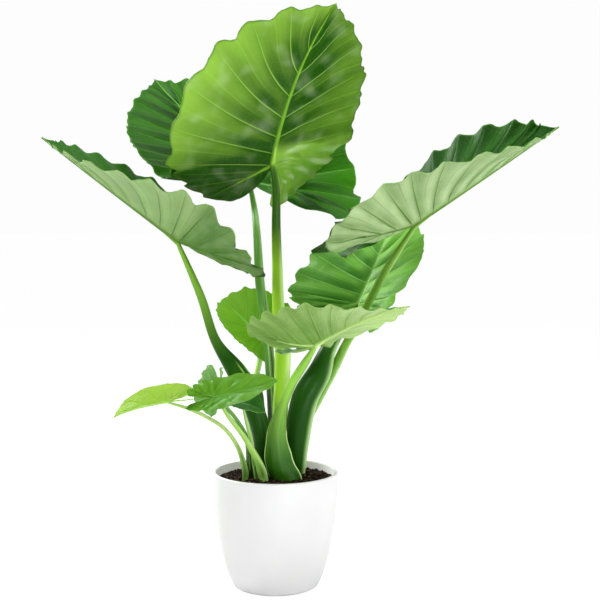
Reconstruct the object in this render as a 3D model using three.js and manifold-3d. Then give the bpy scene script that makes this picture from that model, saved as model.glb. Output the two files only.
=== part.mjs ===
import * as THREE from 'three';
import * as BufferGeometryUtils from 'three/addons/utils/BufferGeometryUtils.js';
import Module from 'manifold-3d';

// Potted alocasia, millimetres, +Z up. The origin is the middle of the pot's foot.
// Seen from the front (-Y), the plant's left is -X.

const POT_HEIGHT = 233;
const POT_WALL = 6.5;
const POT_FLOOR = 7;
const POT_SEGMENTS = 40;
const CLEARANCE = 0.3;

// Outer wall of the pot: radius and height, from the foot to just under the lip.
const POT_OUTSIDE = [
  [78, 0], [83.5, 2.5], [87.5, 8], [96.5, 29], [103, 50], [108.5, 71], [112.7, 92],
  [118.7, 132], [122.8, 172], [124.7, 205],
];

const SOIL_EDGE = 216;
const SOIL_MOUND = 8;
const ROOTSTOCK_RADIUS = 74;
const ROOTSTOCK_TOP = 186;
const ROOTSTOCK_HEIGHT = 70;

const BLADE_EDGE = 1.2;
const STEM_FOOT = ROOTSTOCK_TOP + CLEARANCE;
const STEM_IN_SOIL = 216;

// Half outline of a blade: x in half widths, y in blade lengths in front of the junction
// and in lobe lengths behind it.
const FRONT = [[0, 1], [0.06, 0.965], [0.36, 0.87], [0.7, 0.68], [0.92, 0.45], [1, 0.2], [0.98, -0.03]];
const LOBE_OUTSIDE = [[0.9, -0.38], [0.76, -0.72], [0.55, -0.95]];
const LOBE_INSIDE = [[0.34, -0.97], [0.15, -0.66], [0.04, -0.28], [0, 0]];
const OUTLINE = [...FRONT, ...LOBE_OUTSIDE, ...LOBE_INSIDE];
const LOBE_RIB_END = [0.3, -0.5];

// Every leaf. at: junction of stem and blade; points: way the midrib leaves it; faces: way the
// upper face looks; the pairs give the half on the -X' and the +X' side (X' = points x faces).
// fold: rise of each half from the midrib; curl: further turn out to the margin; droop and sway:
// turn of the midrib by the tip; sag: turn of the lobes. Lengths in mm, angles in degrees.
// stem: centre line from the soil up, with a radius at every point; sheath: where the groove is
// deepest and ends, as shares of the stem; opens: way that the groove looks.
const LEAVES = {
  a: {
    at: [-6, -12, 844], points: [0.19, -0.37, 0.91], faces: [-0.17, 0.9, 0.4],
    length: 355, width: 451, lobe: [85, 85], halves: [0.84, 1], fold: [44, -13], curl: [-21, -8],
    droop: 23, sway: -17, twist: 11, sag: 25, tipFold: -9, lobeFold: [25, 5],
    waves: 8, wave: 5, scallop: 0.02, rib: 3,
    stem: [[3, 24, 15], [11, 22, 373, 15], [15, 18, 485, 15.5], [6, 12, 556, 12.5],
      [4, 2, 637, 10.5], [2, -8, 716, 9], [2, -22, 795, 7.5]],
    opens: [-0.3, 1, 0], groove: 0.5, wing: 0.1, sheath: [0.12, 0.5],
  },
  b: {
    at: [-57, 164, 815], points: [-0.61, 0.44, 0.66], faces: [0.11, -0.78, 0.62],
    length: 337, width: 525, lobe: [60, 160], halves: [1, 1], fold: [31, -1], curl: [5, 5],
    droop: -9, sway: -5, twist: -7, sag: -45, tipFold: -10, lobeFold: [18, -37],
    waves: 9, wave: 5, scallop: 0.02, rib: 3,
    stem: [[-4, 56, 10], [-9, 62, 367, 10], [-18, 74, 489, 9.5], [-33, 88, 601, 10],
      [-40, 112, 702, 8], [-47, 155, 758, 6.5]],
    opens: [1, -0.5, 0], groove: 0.6, wing: 0.35, sheath: [0.15, 0.62],
  },
  c: {
    at: [168, 72, 565], points: [0.38, 0.55, 0.75], faces: [-0.25, -0.72, 0.65],
    length: 266, width: 326, lobe: [48, 48], halves: [1, 0.74], fold: [0, 26], curl: [-1, 11],
    droop: 0, sway: -4, twist: -9, sag: 49, tipFold: -22, lobeFold: [0, 0],
    waves: 7, wave: 4, scallop: 0.02, rib: 3,
    stem: [[40, 12, 18], [44, 2, 294, 24], [58, -6, 376, 26], [88, -2, 432, 23],
      [105, 20, 474, 16], [135, 60, 516, 9.5]],
    opens: [-0.2, 1, 0.3], groove: 0.6, wing: 0.2, sheath: [0.15, 0.7],
  },
  d: {
    at: [269, -25, 726], points: [0.83, -0.07, 0.56], faces: [-0.55, 0.14, 0.83],
    length: 339, width: 351, lobe: [169, 169], halves: [1, 1], fold: [33, 24], curl: [-3, 5],
    droop: -1, sway: 0, twist: -27, sag: -6, tipFold: -6, lobeFold: [0, -8],
    waves: 9, wave: 7, scallop: 0.02, rib: 3,
    stem: [[43, 53, 10], [52, 48, 303, 11], [84, 45, 370, 10.5], [114, 40, 427, 10],
      [143, 34, 487, 8.5], [161, 24, 519, 8.3], [180, 6, 561, 8], [217, -10, 633, 8]],
    opens: [-0.4, 0.4, 1], groove: 0.4, wing: 0.2, sheath: [0.15, 0.5],
  },
  e: {
    at: [-31, 128, 489], points: [-0.71, 0.32, 0.63], faces: [-0.01, -0.9, 0.45],
    length: 129, width: 200, lobe: [38, 38], halves: [0.74, 0.88], fold: [38, 18], curl: [14, 9],
    droop: 19, sway: 3, twist: 4, sag: 45, tipFold: 4, lobeFold: [0, 0],
    waves: 6, wave: 2.5, scallop: 0.02, rib: 2.5,
    stem: [[-42, 44, 8], [-55, 84, 321, 7], [-43, 112, 402, 6], [-34, 130, 448, 5.5]],
    opens: [0.6, -0.6, 0], groove: 0.4, wing: 0.1, sheath: [0.15, 0.5],
  },
  f: {
    at: [76, -95, 498], points: [0.88, -0.04, 0.47], faces: [-0.37, 0.57, 0.74],
    length: 202, width: 351, lobe: [118, 118], halves: [0.5, 1], fold: [22, 4], curl: [2, -8],
    droop: 26, sway: 9, twist: -2, sag: -42, tipFold: -26, lobeFold: [24, 9],
    waves: 7, wave: 4, scallop: 0.02, rib: 3,
    stem: [[22, -30, 21], [6, -40, 268, 18], [5, -49, 335, 12], [28, -65, 408, 9],
      [56, -87, 458, 8]],
    opens: [0, 1, 0.2], groove: 0.5, wing: 0.5, sheath: [-0.1, 0.6],
  },
  g: {
    at: [-187, -25, 694], points: [-0.79, -0.09, 0.6], faces: [0.58, 0.19, 0.79],
    length: 331, width: 327, lobe: [171, 171], halves: [1, 1], fold: [26, 34], curl: [0, 2],
    droop: -1, sway: -3, twist: 13, sag: -9, tipFold: -23, lobeFold: [-15, 0],
    waves: 9, wave: 7, scallop: 0.02, rib: 3,
    stem: [[-28, 1, 16], [-27, -2, 296, 18], [-43, -5, 359, 19.5], [-82, -10, 432, 14],
      [-121, -16, 503, 9.5], [-147, -22, 587, 8]],
    opens: [1, 0.6, 0], groove: 0.6, wing: 0.25, sheath: [0.15, 0.62],
  },
  h: {
    at: [-204, -104, 390], points: [-0.98, -0.13, -0.16], faces: [-0.13, -0.26, 0.96],
    length: 109, width: 97, lobe: [50, 50], halves: [1, 1], fold: [19, 19], curl: [6, 7],
    droop: 19, sway: 0, twist: -4, sag: 8, tipFold: 3, lobeFold: [0, 7],
    waves: 4, wave: 1.5, scallop: 0.02, rib: 1.8,
    stem: [[-60, -34, 6], [-60, -38, 242, 6], [-73, -58, 292, 4.5], [-97, -76, 331, 4],
      [-129, -92, 356, 3.6], [-164, -103, 375, 3.4]],
    opens: [0.2, -1, 0.4], groove: 0.35, wing: 0.1, sheath: [0.15, 0.5],
  },
  i: {
    at: [-111, -120, 401], points: [0.93, -0.28, 0.22], faces: [-0.36, -0.68, 0.64],
    length: 129, width: 81, lobe: [60, 60], halves: [1, 1], fold: [11, 20], curl: [-5, -1],
    droop: 1, sway: -10, twist: 2, sag: -1, tipFold: 0, lobeFold: [16, 2],
    waves: 4, wave: 1.5, scallop: 0.02, rib: 1.8,
    stem: [[-22, -42, 9], [-26, -47, 242, 9], [-39, -60, 275, 7], [-60, -82, 317, 5],
      [-89, -106, 362, 4]],
    opens: [-0.2, -1, 0.3], groove: 0.5, wing: 0.2, sheath: [0.2, 0.5],
  },
  j: {
    at: [-113, -62, 394], points: [-0.23, -0.15, -0.96], faces: [-0.65, -0.71, 0.27],
    length: 43, width: 90, lobe: [63, 63], halves: [1, 1], fold: [33, 34], curl: [0, 2],
    droop: 1, sway: 9, twist: 0, sag: -24, tipFold: 0, lobeFold: [6, 5],
    waves: 3, wave: 1.5, scallop: 0.02, rib: 1.8,
    stem: [[-51, -13, 8], [-50, -26, 256, 8.5], [-56, -34, 303, 5.5], [-76, -44, 344, 4],
      [-96, -50, 370, 3.6]],
    opens: [0.8, -0.6, 0], groove: 0.4, wing: 0.1, sheath: [0.2, 0.5],
  },
  k: {
    at: [-63, -92, 385], points: [0.89, -0.42, -0.17], faces: [-0.11, -0.57, 0.81],
    length: 52, width: 49, lobe: [22, 22], halves: [1, 1], fold: [14, 18], curl: [3, 7],
    droop: 32, sway: 2, twist: 1, sag: 10, tipFold: 4, lobeFold: [0, 0],
    waves: 3, wave: 1, scallop: 0.02, rib: 1.8,
    stem: [[-37, -30, 4.5], [-42, -42, 259, 4.5], [-47, -60, 305, 4], [-54, -78, 341, 3.5]],
    opens: [0.5, -1, 0.3], groove: 0.3, wing: 0.1, sheath: [0.2, 0.5],
  },
};

const BLADE_COLOURS = {
  a: 0x79b52c, b: 0x3c8a35, c: 0x3f8f3a, d: 0x86b857, e: 0x6fbf3a, f: 0x86b25c,
  g: 0x86b257, h: 0x8fd03f, i: 0x56b035, j: 0x3c8a35, k: 0x4b9436,
};
const STEM_COLOURS = {
  a: 0x86b83a, b: 0x5d8f4e, c: 0x2f6b2a, d: 0x7fb04a, e: 0x9acb4a, f: 0x86b04a,
  g: 0x3f7a2e, h: 0x7fb04a, i: 0x7fb84a, j: 0x4b8a3a, k: 0x6fa845,
};

const rad = THREE.MathUtils.degToRad;
const vec = ([x, y, z]) => new THREE.Vector3(x, y, z);
const clamp = THREE.MathUtils.clamp;
const smooth = THREE.MathUtils.smoothstep;

// Point on the uniform Catmull-Rom spline through a list of number lists, u from 0 to 1.
function along(points, u) {
  const last = points.length - 1;
  const i = Math.min(Math.floor(u * last), last - 1);
  const w = u * last - i;
  const [p0, p1, p2, p3] = [Math.max(i - 1, 0), i, i + 1, Math.min(i + 2, last)].map((k) => points[k]);
  return p1.map((b, k) => {
    const v0 = (p2[k] - p0[k]) / 2;
    const v1 = (p3[k] - b) / 2;
    return (2 * b - 2 * p2[k] + v0 + v1) * w ** 3 + (3 * (p2[k] - b) - 2 * v0 - v1) * w ** 2 + v0 * w + b;
  });
}

// Phase of the margin's waves: the front holds leaf.waves of them and each side of a lobe three.
const wavePhase = (leaf, q) => (q <= 1 ? leaf.waves * q : leaf.waves + 3 * (q - 1));

function marginWave(leaf, q, t) {
  const ends = Math.min(1, 5 * q) * Math.min(1, 3 - q);
  return Math.cos(2 * Math.PI * wavePhase(leaf, q)) * ends * t ** 3;
}

// Flat half blade. q runs 0 to 1 down the front's margin, 1 to 2 down the lobe's outer side and
// 2 to 3 back up its inner side; t runs from the ribs (0) to the margin (1).
function flatPoint(leaf, q, t) {
  const [front, lobe] = [FRONT.length - 1, LOBE_OUTSIDE.length];
  const inside = LOBE_INSIDE.length;
  const knot = q <= 1 ? q * front : q <= 2 ? front + (q - 1) * lobe : front + lobe + (q - 2) * inside;
  const [ex, ey] = along(OUTLINE, knot / (OUTLINE.length - 1));
  const out = q <= 1 ? 0 : q <= 2 ? q - 1 : 3 - q;
  const rx = out * LOBE_RIB_END[0];
  const ry = q <= 1 ? 1 - q : out * LOBE_RIB_END[1];
  const reach = t * (1 + leaf.scallop * marginWave(leaf, q, t));
  const bow = q <= 1 ? 0.2 * t * (1 - t) * Math.sin(Math.PI * q) : 0;
  return [rx + (ex - rx) * reach, ry + (ey - ry) * reach - bow];
}

// Point of a blade's upper face. The midrib's arc is summed from its direction, and each half is
// a circular arc square to it.
function bladePoint(leaf, q, t, side) {
  const along3 = vec(leaf.points).normalize();
  const up = vec(leaf.faces);
  up.addScaledVector(along3, -up.dot(along3)).normalize();
  const across = new THREE.Vector3().crossVectors(along3, up);
  const k = side < 0 ? 0 : 1;
  const halfWidth = (leaf.width / 2) * leaf.halves[k];
  const lobe = leaf.lobe[k];
  const [fx, fy] = flatPoint(leaf, q, t);
  const x = fx * halfWidth;
  const y = fy > 0 ? fy * leaf.length : fy * lobe;

  const direction = (s) => {
    const f = s > 0 ? s / leaf.length : 0;
    const b = s < 0 ? -s / lobe : 0;
    const rise = -rad(leaf.droop) * f * f + rad(leaf.sag) * b;
    const turn = rad(leaf.sway) * f;
    return along3.clone().multiplyScalar(Math.cos(rise) * Math.cos(turn))
      .addScaledVector(across, Math.cos(rise) * Math.sin(turn))
      .addScaledVector(up, Math.sin(rise));
  };
  const steps = 24;
  const point = vec(leaf.at);
  for (let i = 0; i < steps; i++) point.addScaledVector(direction((y * (i + 0.5)) / steps), y / steps);

  const turn = rad(leaf.sway) * Math.max(y / leaf.length, 0);
  const ahead = direction(y);
  const over = across.clone().multiplyScalar(Math.cos(turn)).addScaledVector(along3, -Math.sin(turn));
  const normal = new THREE.Vector3().crossVectors(over, ahead).normalize();
  const roll = rad(leaf.twist) * clamp(y / leaf.length, -1, 1);
  const overTurned = over.clone().multiplyScalar(Math.cos(roll)).addScaledVector(normal, Math.sin(roll));
  const normalTurned = normal.clone().multiplyScalar(Math.cos(roll)).addScaledVector(over, -Math.sin(roll));

  const start = rad(leaf.fold[k] + leaf.tipFold * clamp(y / leaf.length, 0, 1)
    + leaf.lobeFold[k] * clamp(-y / lobe, 0, 1));
  const bend = (rad(leaf.curl[k]) * x) / halfWidth / 2;
  const chord = bend === 0 ? x : (x * Math.sin(bend)) / bend;
  point.addScaledVector(overTurned, side * chord * Math.cos(start + bend));
  point.addScaledVector(normalTurned, chord * Math.sin(start + bend));
  const lift = leaf.wave * marginWave(leaf, q, t);
  point.addScaledVector(normalTurned, lift * Math.cos(start + 2 * bend));
  point.addScaledVector(overTurned, -side * lift * Math.sin(start + 2 * bend));
  return point;
}

// A blade as one thin closed solid: the upper face's grid, the same grid set down by the
// thickness, which grows toward the ribs, and a rim between their margins.
function bladeGeometry(leaf) {
  const rows = leaf.length > 150 ? [0, 0.3, 0.6, 0.84, 1] : [0, 0.4, 0.75, 1];
  const columns = [];
  for (let i = 0; i <= 2 * leaf.waves; i++) columns.push(i / (2 * leaf.waves));
  for (let i = 1; i <= 12; i++) columns.push(1 + i / 6);
  const places = [];
  const thickness = [];
  const seen = new Map();
  const vertex = (side, q, t) => {
    const p = bladePoint(leaf, q, t, side);
    const key = [p.x, p.y, p.z].map((c) => Math.round(c * 1000)).join();
    if (!seen.has(key)) {
      seen.set(key, places.length);
      places.push(p);
      const out = q <= 1 ? 0 : q <= 2 ? q - 1 : 3 - q;
      thickness.push(BLADE_EDGE + (leaf.rib - BLADE_EDGE) * (1 - 0.8 * out) * (1 - t) ** 3);
    }
    return seen.get(key);
  };
  const faces = [];
  const rims = [];
  for (const side of [-1, 1]) {
    const grid = columns.map((q) => rows.map((t) => vertex(side, q, t)));
    for (let i = 0; i + 1 < grid.length; i++) {
      for (let j = 0; j + 1 < rows.length; j++) {
        const [a, b, c, d] = [grid[i][j], grid[i + 1][j], grid[i + 1][j + 1], grid[i][j + 1]];
        for (const f of [[a, b, c], [a, c, d]]) faces.push(side > 0 ? f : f.reverse());
      }
      const [m, n] = [grid[i][rows.length - 1], grid[i + 1][rows.length - 1]];
      rims.push(side > 0 ? [n, m] : [m, n]);
    }
  }
  const whole = ([a, b, c]) => a !== b && b !== c && c !== a;
  const top = new THREE.BufferGeometry();
  top.setAttribute('position', new THREE.Float32BufferAttribute(places.flatMap((p) => p.toArray()), 3));
  top.setIndex(faces.filter(whole).flat());
  top.computeVertexNormals();
  const normals = top.attributes.normal;
  const n = places.length;
  const under = places.map((p, i) => p.clone().addScaledVector(
    new THREE.Vector3().fromBufferAttribute(normals, i), -thickness[i]));
  const index = faces.flatMap(([a, b, c]) => [[a, b, c], [a + n, c + n, b + n]]);
  for (const [a, b] of rims) index.push([a, a + n, b + n], [a, b + n, b]);
  const solid = new THREE.BufferGeometry();
  solid.setAttribute('position',
    new THREE.Float32BufferAttribute([...places, ...under].flatMap((p) => p.toArray()), 3));
  solid.setIndex(index.filter(whole).flat());
  solid.computeVertexNormals();
  return solid;
}

// A leaf stem: rings along its centre line, round at both ends, with a groove between two wings
// along the sheath. grow widens it for the hole that it stands in.
function stemGeometry(leaf, grow = 0) {
  const large = leaf.length > 150;
  const [sides, rings] = large ? [12, 14] : [8, 10];
  const endRadius = large ? 3.2 : 1.8;
  const [foot, ...rest] = leaf.stem;
  const face = vec(leaf.faces);
  const ahead = vec(leaf.points).normalize();
  face.addScaledVector(ahead, -face.dot(ahead)).normalize();
  const end = vec(leaf.at).addScaledVector(face, (leaf.lift ?? 0) - leaf.rib - endRadius - 1);
  const path = [
    [foot[0], foot[1], STEM_FOOT - 2 * grow, foot[2]], [foot[0], foot[1], STEM_IN_SOIL, foot[2]],
    ...rest, [end.x, end.y, end.z, endRadius],
  ];
  const positions = [];
  const index = [];
  const opens = vec(leaf.opens);
  for (let i = 0; i <= rings; i++) {
    const u = i / rings;
    const [x, y, z, radius] = along(path, u);
    const before = vec(along(path, Math.max(u - 0.01, 0)));
    const tangent = vec(along(path, Math.min(u + 0.01, 1))).sub(before).normalize();
    if (i === 0) tangent.set(0, 0, 1);
    const e1 = opens.clone().addScaledVector(tangent, -opens.dot(tangent)).normalize();
    const e2 = new THREE.Vector3().crossVectors(tangent, e1);
    const [from, to] = leaf.sheath;
    const open = smooth(u, from, from + 0.1) * (1 - smooth(u, to - 0.15, to));
    for (let j = 0; j < sides; j++) {
      let angle = (2 * Math.PI * j) / sides;
      if (angle > Math.PI) angle -= 2 * Math.PI;
      const lips = Math.exp(-(((angle - 1.05) / 0.35) ** 2)) + Math.exp(-(((angle + 1.05) / 0.35) ** 2));
      const cut = Math.exp(-((angle / 0.45) ** 2));
      const r = radius * (1 + open * (leaf.wing * lips - leaf.groove * cut)) + grow;
      positions.push(...vec([x, y, z]).addScaledVector(e1, r * Math.cos(angle))
        .addScaledVector(e2, r * Math.sin(angle)).toArray());
    }
  }
  for (let i = 0; i < rings; i++) {
    for (let j = 0; j < sides; j++) {
      const k = (j + 1) % sides;
      const [a, b, c, d] = [i * sides + j, i * sides + k, (i + 1) * sides + k, (i + 1) * sides + j];
      index.push(a, b, c, a, c, d);
    }
  }
  const last = positions.length / 3;
  const [first, final] = [along(path, 0), along(path, 1)];
  positions.push(...first.slice(0, 3), ...final.slice(0, 3));
  for (let j = 0; j < sides; j++) {
    const k = (j + 1) % sides;
    index.push(last, k, j, last + 1, rings * sides + j, rings * sides + k);
  }
  const solid = new THREE.BufferGeometry();
  solid.setAttribute('position', new THREE.Float32BufferAttribute(positions, 3));
  solid.setIndex(index);
  solid.computeVertexNormals();
  return solid;
}

// Solid of revolution about Z from a profile of [radius, height] that starts and ends on the axis.
function turned(profile, segments) {
  const geometry = new THREE.LatheGeometry(profile.map(([r, z]) => new THREE.Vector2(r, z)), segments);
  return geometry.rotateX(Math.PI / 2);
}

function potProfile() {
  const rim = POT_OUTSIDE.at(-1)[0];
  const lip = [
    [rim + 0.3, POT_HEIGHT - 2.5], [rim - 0.8, POT_HEIGHT - 0.6], [rim - 2.8, POT_HEIGHT],
    [rim - 5, POT_HEIGHT - 0.8], [rim - POT_WALL, POT_HEIGHT - 3.5],
  ];
  const inside = potInside(0).reverse();
  return [[0, 0], ...POT_OUTSIDE, ...lip, ...inside];
}

// Inner wall, from the axis of the floor up to the lip, drawn in by gap.
function potInside(gap) {
  const walls = POT_OUTSIDE.filter(([, z], i) => z > 20 && i % 2 === 1);
  const floor = [[0, POT_FLOOR + gap], [81 - gap, POT_FLOOR + gap]];
  return [...floor, ...walls.map(([r, z]) => [r - POT_WALL - gap, z])];
}

// Height of the soil: a low mound round the stems with crumbs on it.
function soilHeight(radius, angle, rim) {
  const mound = SOIL_MOUND * Math.cos((Math.PI / 2) * Math.min(radius / rim, 1)) ** 1.5;
  const crumbs = Math.sin(5 * angle + radius / 9) * Math.sin(radius / 7 + 2 * Math.cos(3 * angle));
  return SOIL_EDGE + mound + 1.6 * crumbs * Math.min(1, (rim - radius) / 12);
}

function soilGeometry() {
  const sides = POT_SEGMENTS;
  const wall = potInside(CLEARANCE).slice(1);
  const [r0, z0] = wall.at(-2);
  const [r1, z1] = wall.at(-1);
  const edge = r0 + ((r1 - r0) * (SOIL_EDGE - z0)) / (z1 - z0);
  const profile = [...wall.filter(([, z]) => z < SOIL_EDGE - 4)];
  const rings = profile.map(([r, z]) => () => [r, z]);
  for (const share of [1, 0.86, 0.7, 0.5, 0.28]) {
    const r = share * Math.min(edge, wall.at(-1)[0] - 0.1);
    rings.push((a) => [r, soilHeight(r, a, edge)]);
  }
  const positions = [];
  const index = [];
  for (const ring of rings) {
    for (let j = 0; j < sides; j++) {
      const a = (2 * Math.PI * j) / sides;
      const [r, z] = ring(a);
      positions.push(r * Math.sin(a), -r * Math.cos(a), z);
    }
  }
  for (let i = 0; i + 1 < rings.length; i++) {
    for (let j = 0; j < sides; j++) {
      const k = (j + 1) % sides;
      const [a, b, c, d] = [i * sides + j, i * sides + k, (i + 1) * sides + k, (i + 1) * sides + j];
      index.push(a, b, c, a, c, d);
    }
  }
  const centre = positions.length / 3;
  positions.push(0, 0, POT_FLOOR + CLEARANCE, 0, 0, soilHeight(0, 0, edge));
  for (let j = 0; j < sides; j++) {
    const k = (j + 1) % sides;
    const top = (rings.length - 1) * sides;
    index.push(centre, k, j, centre + 1, top + j, top + k);
  }
  const solid = new THREE.BufferGeometry();
  solid.setAttribute('position', new THREE.Float32BufferAttribute(positions, 3));
  solid.setIndex(index);
  return solid;
}

// Squat rootstock with a flat top that the stems stand on.
function rootstockGeometry(grow = 0) {
  const [r, top, h] = [ROOTSTOCK_RADIUS + grow, ROOTSTOCK_TOP + grow, ROOTSTOCK_HEIGHT + 2 * grow];
  const profile = [
    [0, top - h], [0.3 * r, top - 0.97 * h], [0.66 * r, top - 0.72 * h], [0.92 * r, top - 0.36 * h],
    [r, top - 0.16 * h], [0.97 * r, top], [0, top],
  ];
  return turned(profile, 24);
}

const wasm = await Module();
wasm.setup();

function toManifold(geometry) {
  const bare = geometry.clone();
  for (const name of ['normal', 'uv']) bare.deleteAttribute(name);
  const merged = BufferGeometryUtils.mergeVertices(bare, 1e-3);
  const old = merged.index.array;
  const triangles = [];
  for (let i = 0; i < old.length; i += 3) {
    const [a, b, c] = [old[i], old[i + 1], old[i + 2]];
    if (a !== b && b !== c && c !== a) triangles.push(a, b, c);
  }
  return new wasm.Manifold(new wasm.Mesh({
    numProp: 3,
    vertProperties: Float32Array.from(merged.attributes.position.array),
    triVerts: Uint32Array.from(triangles),
  }));
}

// Lifts the top end of a stem up to its blade's underside, CLEARANCE short of it.
function seatStem(leaf, blade) {
  leaf.lift = 0;
  for (let i = 0; i < 4; i++) leaf.lift += toManifold(stemGeometry(leaf)).minGap(blade, 20) - CLEARANCE;
}

function fromManifold(solid) {
  const { vertProperties, triVerts } = solid.getMesh();
  const geometry = new THREE.BufferGeometry();
  geometry.setAttribute('position', new THREE.BufferAttribute(Float32Array.from(vertProperties), 3));
  geometry.setIndex(new THREE.BufferAttribute(Uint32Array.from(triVerts), 1));
  geometry.computeVertexNormals();
  return geometry;
}

function named(name, geometry, colour, roughness) {
  const material = new THREE.MeshStandardMaterial({ color: colour, roughness, metalness: 0 });
  const mesh = new THREE.Mesh(geometry, material);
  mesh.name = name;
  return mesh;
}

const plant = new THREE.Group();
plant.add(named('pot', turned(potProfile(), POT_SEGMENTS), 0xf2f2f0, 0.55));

for (const leaf of Object.values(LEAVES)) seatStem(leaf, toManifold(bladeGeometry(leaf)));

let soil = toManifold(soilGeometry()).subtract(toManifold(rootstockGeometry(CLEARANCE)));
for (const leaf of Object.values(LEAVES)) soil = soil.subtract(toManifold(stemGeometry(leaf, CLEARANCE)));
plant.add(named('soil', fromManifold(soil), 0x3a2418, 0.95));
plant.add(named('rootstock', rootstockGeometry(), 0x8a6a48, 0.9));

for (const [letter, leaf] of Object.entries(LEAVES)) {
  plant.add(named(`stem_${letter}`, stemGeometry(leaf), STEM_COLOURS[letter], 0.45));
  plant.add(named(`blade_${letter}`, bladeGeometry(leaf), BLADE_COLOURS[letter], 0.4));
}

export default plant;
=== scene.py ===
import math

import bpy
import numpy as np
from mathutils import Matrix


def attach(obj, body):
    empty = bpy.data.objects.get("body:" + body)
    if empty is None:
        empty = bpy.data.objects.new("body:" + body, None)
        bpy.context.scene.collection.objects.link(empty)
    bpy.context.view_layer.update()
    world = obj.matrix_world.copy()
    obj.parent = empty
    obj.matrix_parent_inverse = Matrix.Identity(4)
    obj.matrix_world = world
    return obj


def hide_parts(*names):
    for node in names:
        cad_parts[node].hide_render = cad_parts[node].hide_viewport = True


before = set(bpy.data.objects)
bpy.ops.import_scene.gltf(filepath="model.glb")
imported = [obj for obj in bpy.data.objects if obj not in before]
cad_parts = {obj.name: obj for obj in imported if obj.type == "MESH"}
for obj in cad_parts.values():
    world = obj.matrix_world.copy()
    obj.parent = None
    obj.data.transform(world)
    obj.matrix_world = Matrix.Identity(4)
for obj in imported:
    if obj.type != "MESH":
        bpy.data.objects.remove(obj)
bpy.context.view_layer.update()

# Pot
# A round moulded pot of matt white plastic with a soft taper and a thin rounded rim. It is turned
# as one shell from the foot up the outside, over the lip and down the inside to the floor.
POT_HEIGHT = 0.233
POT_WALL = 0.0065
POT_FLOOR = 0.007
POT_SIDES = 160
POT_OUTSIDE = [
    (0.0780, 0.0000), (0.0835, 0.0025), (0.0875, 0.0080), (0.0965, 0.0290), (0.1030, 0.0500),
    (0.1085, 0.0710), (0.1127, 0.0920), (0.1187, 0.1320), (0.1228, 0.1720), (0.1247, 0.2050),
]
POT_INNER_CORNER = [(0.0855, 0.011), (0.081, POT_FLOOR)]


def spline(points, u):
    """Catmull-Rom curve: a cubic through the points with the slope at each one taken from its
    two neighbours. u runs from 0 at the first point to 1 at the last."""
    points = np.asarray(points, float)
    last = len(points) - 1
    place = np.clip(np.asarray(u, float), 0, 1) * last
    i = np.minimum(place.astype(int), last - 1)
    w = (place - i)[..., None]
    before, a, b, after = (points[np.clip(i + k, 0, last)] for k in (-1, 0, 1, 2))
    slope_a, slope_b = (b - before) / 2, (after - a) / 2
    cube = 2 * a - 2 * b + slope_a + slope_b
    square = 3 * (b - a) - 2 * slope_a - slope_b
    return cube * w**3 + square * w**2 + slope_a * w + a


def grid_faces(rows, columns, start=0):
    """Two triangles for every cell of a grid whose points are numbered row by row."""
    a = (start + np.arange(rows - 1)[:, None] * columns + np.arange(columns - 1)).ravel()
    b, c, d = a + 1, a + columns + 1, a + columns
    return np.concatenate([np.stack([a, b, c], 1), np.stack([a, c, d], 1)])


def shell(name, points, faces, materials, groups=None, uv=None, marks=None):
    """One mesh from points and triangles. Points that meet are made one, which closes the seams
    and poles, and the triangles that this flattens to a line are dropped. marks holds one number
    per point under each name."""
    keys = np.round(points * 2e6).astype(np.int64)
    _, first, same = np.unique(keys, axis=0, return_index=True, return_inverse=True)
    joined = same.reshape(-1)[faces]
    whole = (joined != np.roll(joined, 1, axis=1)).all(1)
    joined, corners = joined[whole], faces[whole]
    mesh = bpy.data.meshes.new(name)
    mesh.vertices.add(len(first))
    mesh.vertices.foreach_set("co", points[first].astype(np.float32).ravel())
    mesh.loops.add(joined.size)
    mesh.loops.foreach_set("vertex_index", joined.ravel().astype(np.int32))
    mesh.polygons.add(len(joined))
    mesh.polygons.foreach_set("loop_start", np.arange(0, joined.size, 3, dtype=np.int32))
    mesh.polygons.foreach_set("use_smooth", np.ones(len(joined), bool))
    if groups is not None:
        mesh.polygons.foreach_set("material_index", groups[whole].astype(np.int32))
    if uv is not None:
        layer = mesh.uv_layers.new(name="veins")
        layer.data.foreach_set("uv", uv[corners.ravel()].astype(np.float32).ravel())
    for mark_name, values in (marks or {}).items():
        layer = mesh.attributes.new(mark_name, "FLOAT", "POINT")
        layer.data.foreach_set("value", values[first].astype(np.float32))
    mesh.update(calc_edges=True)
    for material in materials:
        mesh.materials.append(material)
    piece = bpy.data.objects.new(name, mesh)
    bpy.context.scene.collection.objects.link(piece)
    return piece


def turned(name, profile, sides, materials):
    """Solid of revolution about Z: each profile point (radius, height) swept round a circle."""
    angle = np.linspace(0, 2 * np.pi, sides + 1)
    angle[-1] = 0
    r, z = profile[:, 0, None], profile[:, 1, None]
    points = np.stack([r * np.cos(angle), r * np.sin(angle), z + 0 * angle], -1).reshape(-1, 3)
    return shell(name, points, grid_faces(len(profile), sides + 1)[:, ::-1], materials)


def paint(code):
    """The linear colour of a six-digit hex code."""
    c = np.array([int(code[i:i + 2], 16) for i in (0, 2, 4)]) / 255
    return (*np.where(c <= 0.04045, c / 12.92, ((c + 0.055) / 1.055) ** 2.4), 1.0)


def finish(name):
    """A new material with its node tree and its Principled shader."""
    material = bpy.data.materials.new(name)
    material.use_nodes = True
    tree = material.node_tree
    return material, tree, tree.nodes["Principled BSDF"]


def add(tree, kind, values=None, **settings):
    """One node of a tree. Values that are sockets are linked and the others are set."""
    node = tree.nodes.new(kind)
    for key, value in settings.items():
        setattr(node, key, value)
    for key, value in (values or {}).items():
        if isinstance(value, bpy.types.NodeSocket):
            tree.links.new(value, node.inputs[key])
        else:
            node.inputs[key].default_value = value
    return node


def own_place(tree):
    """The place on the object, in metres."""
    return add(tree, "ShaderNodeTexCoord").outputs["Object"]


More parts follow.
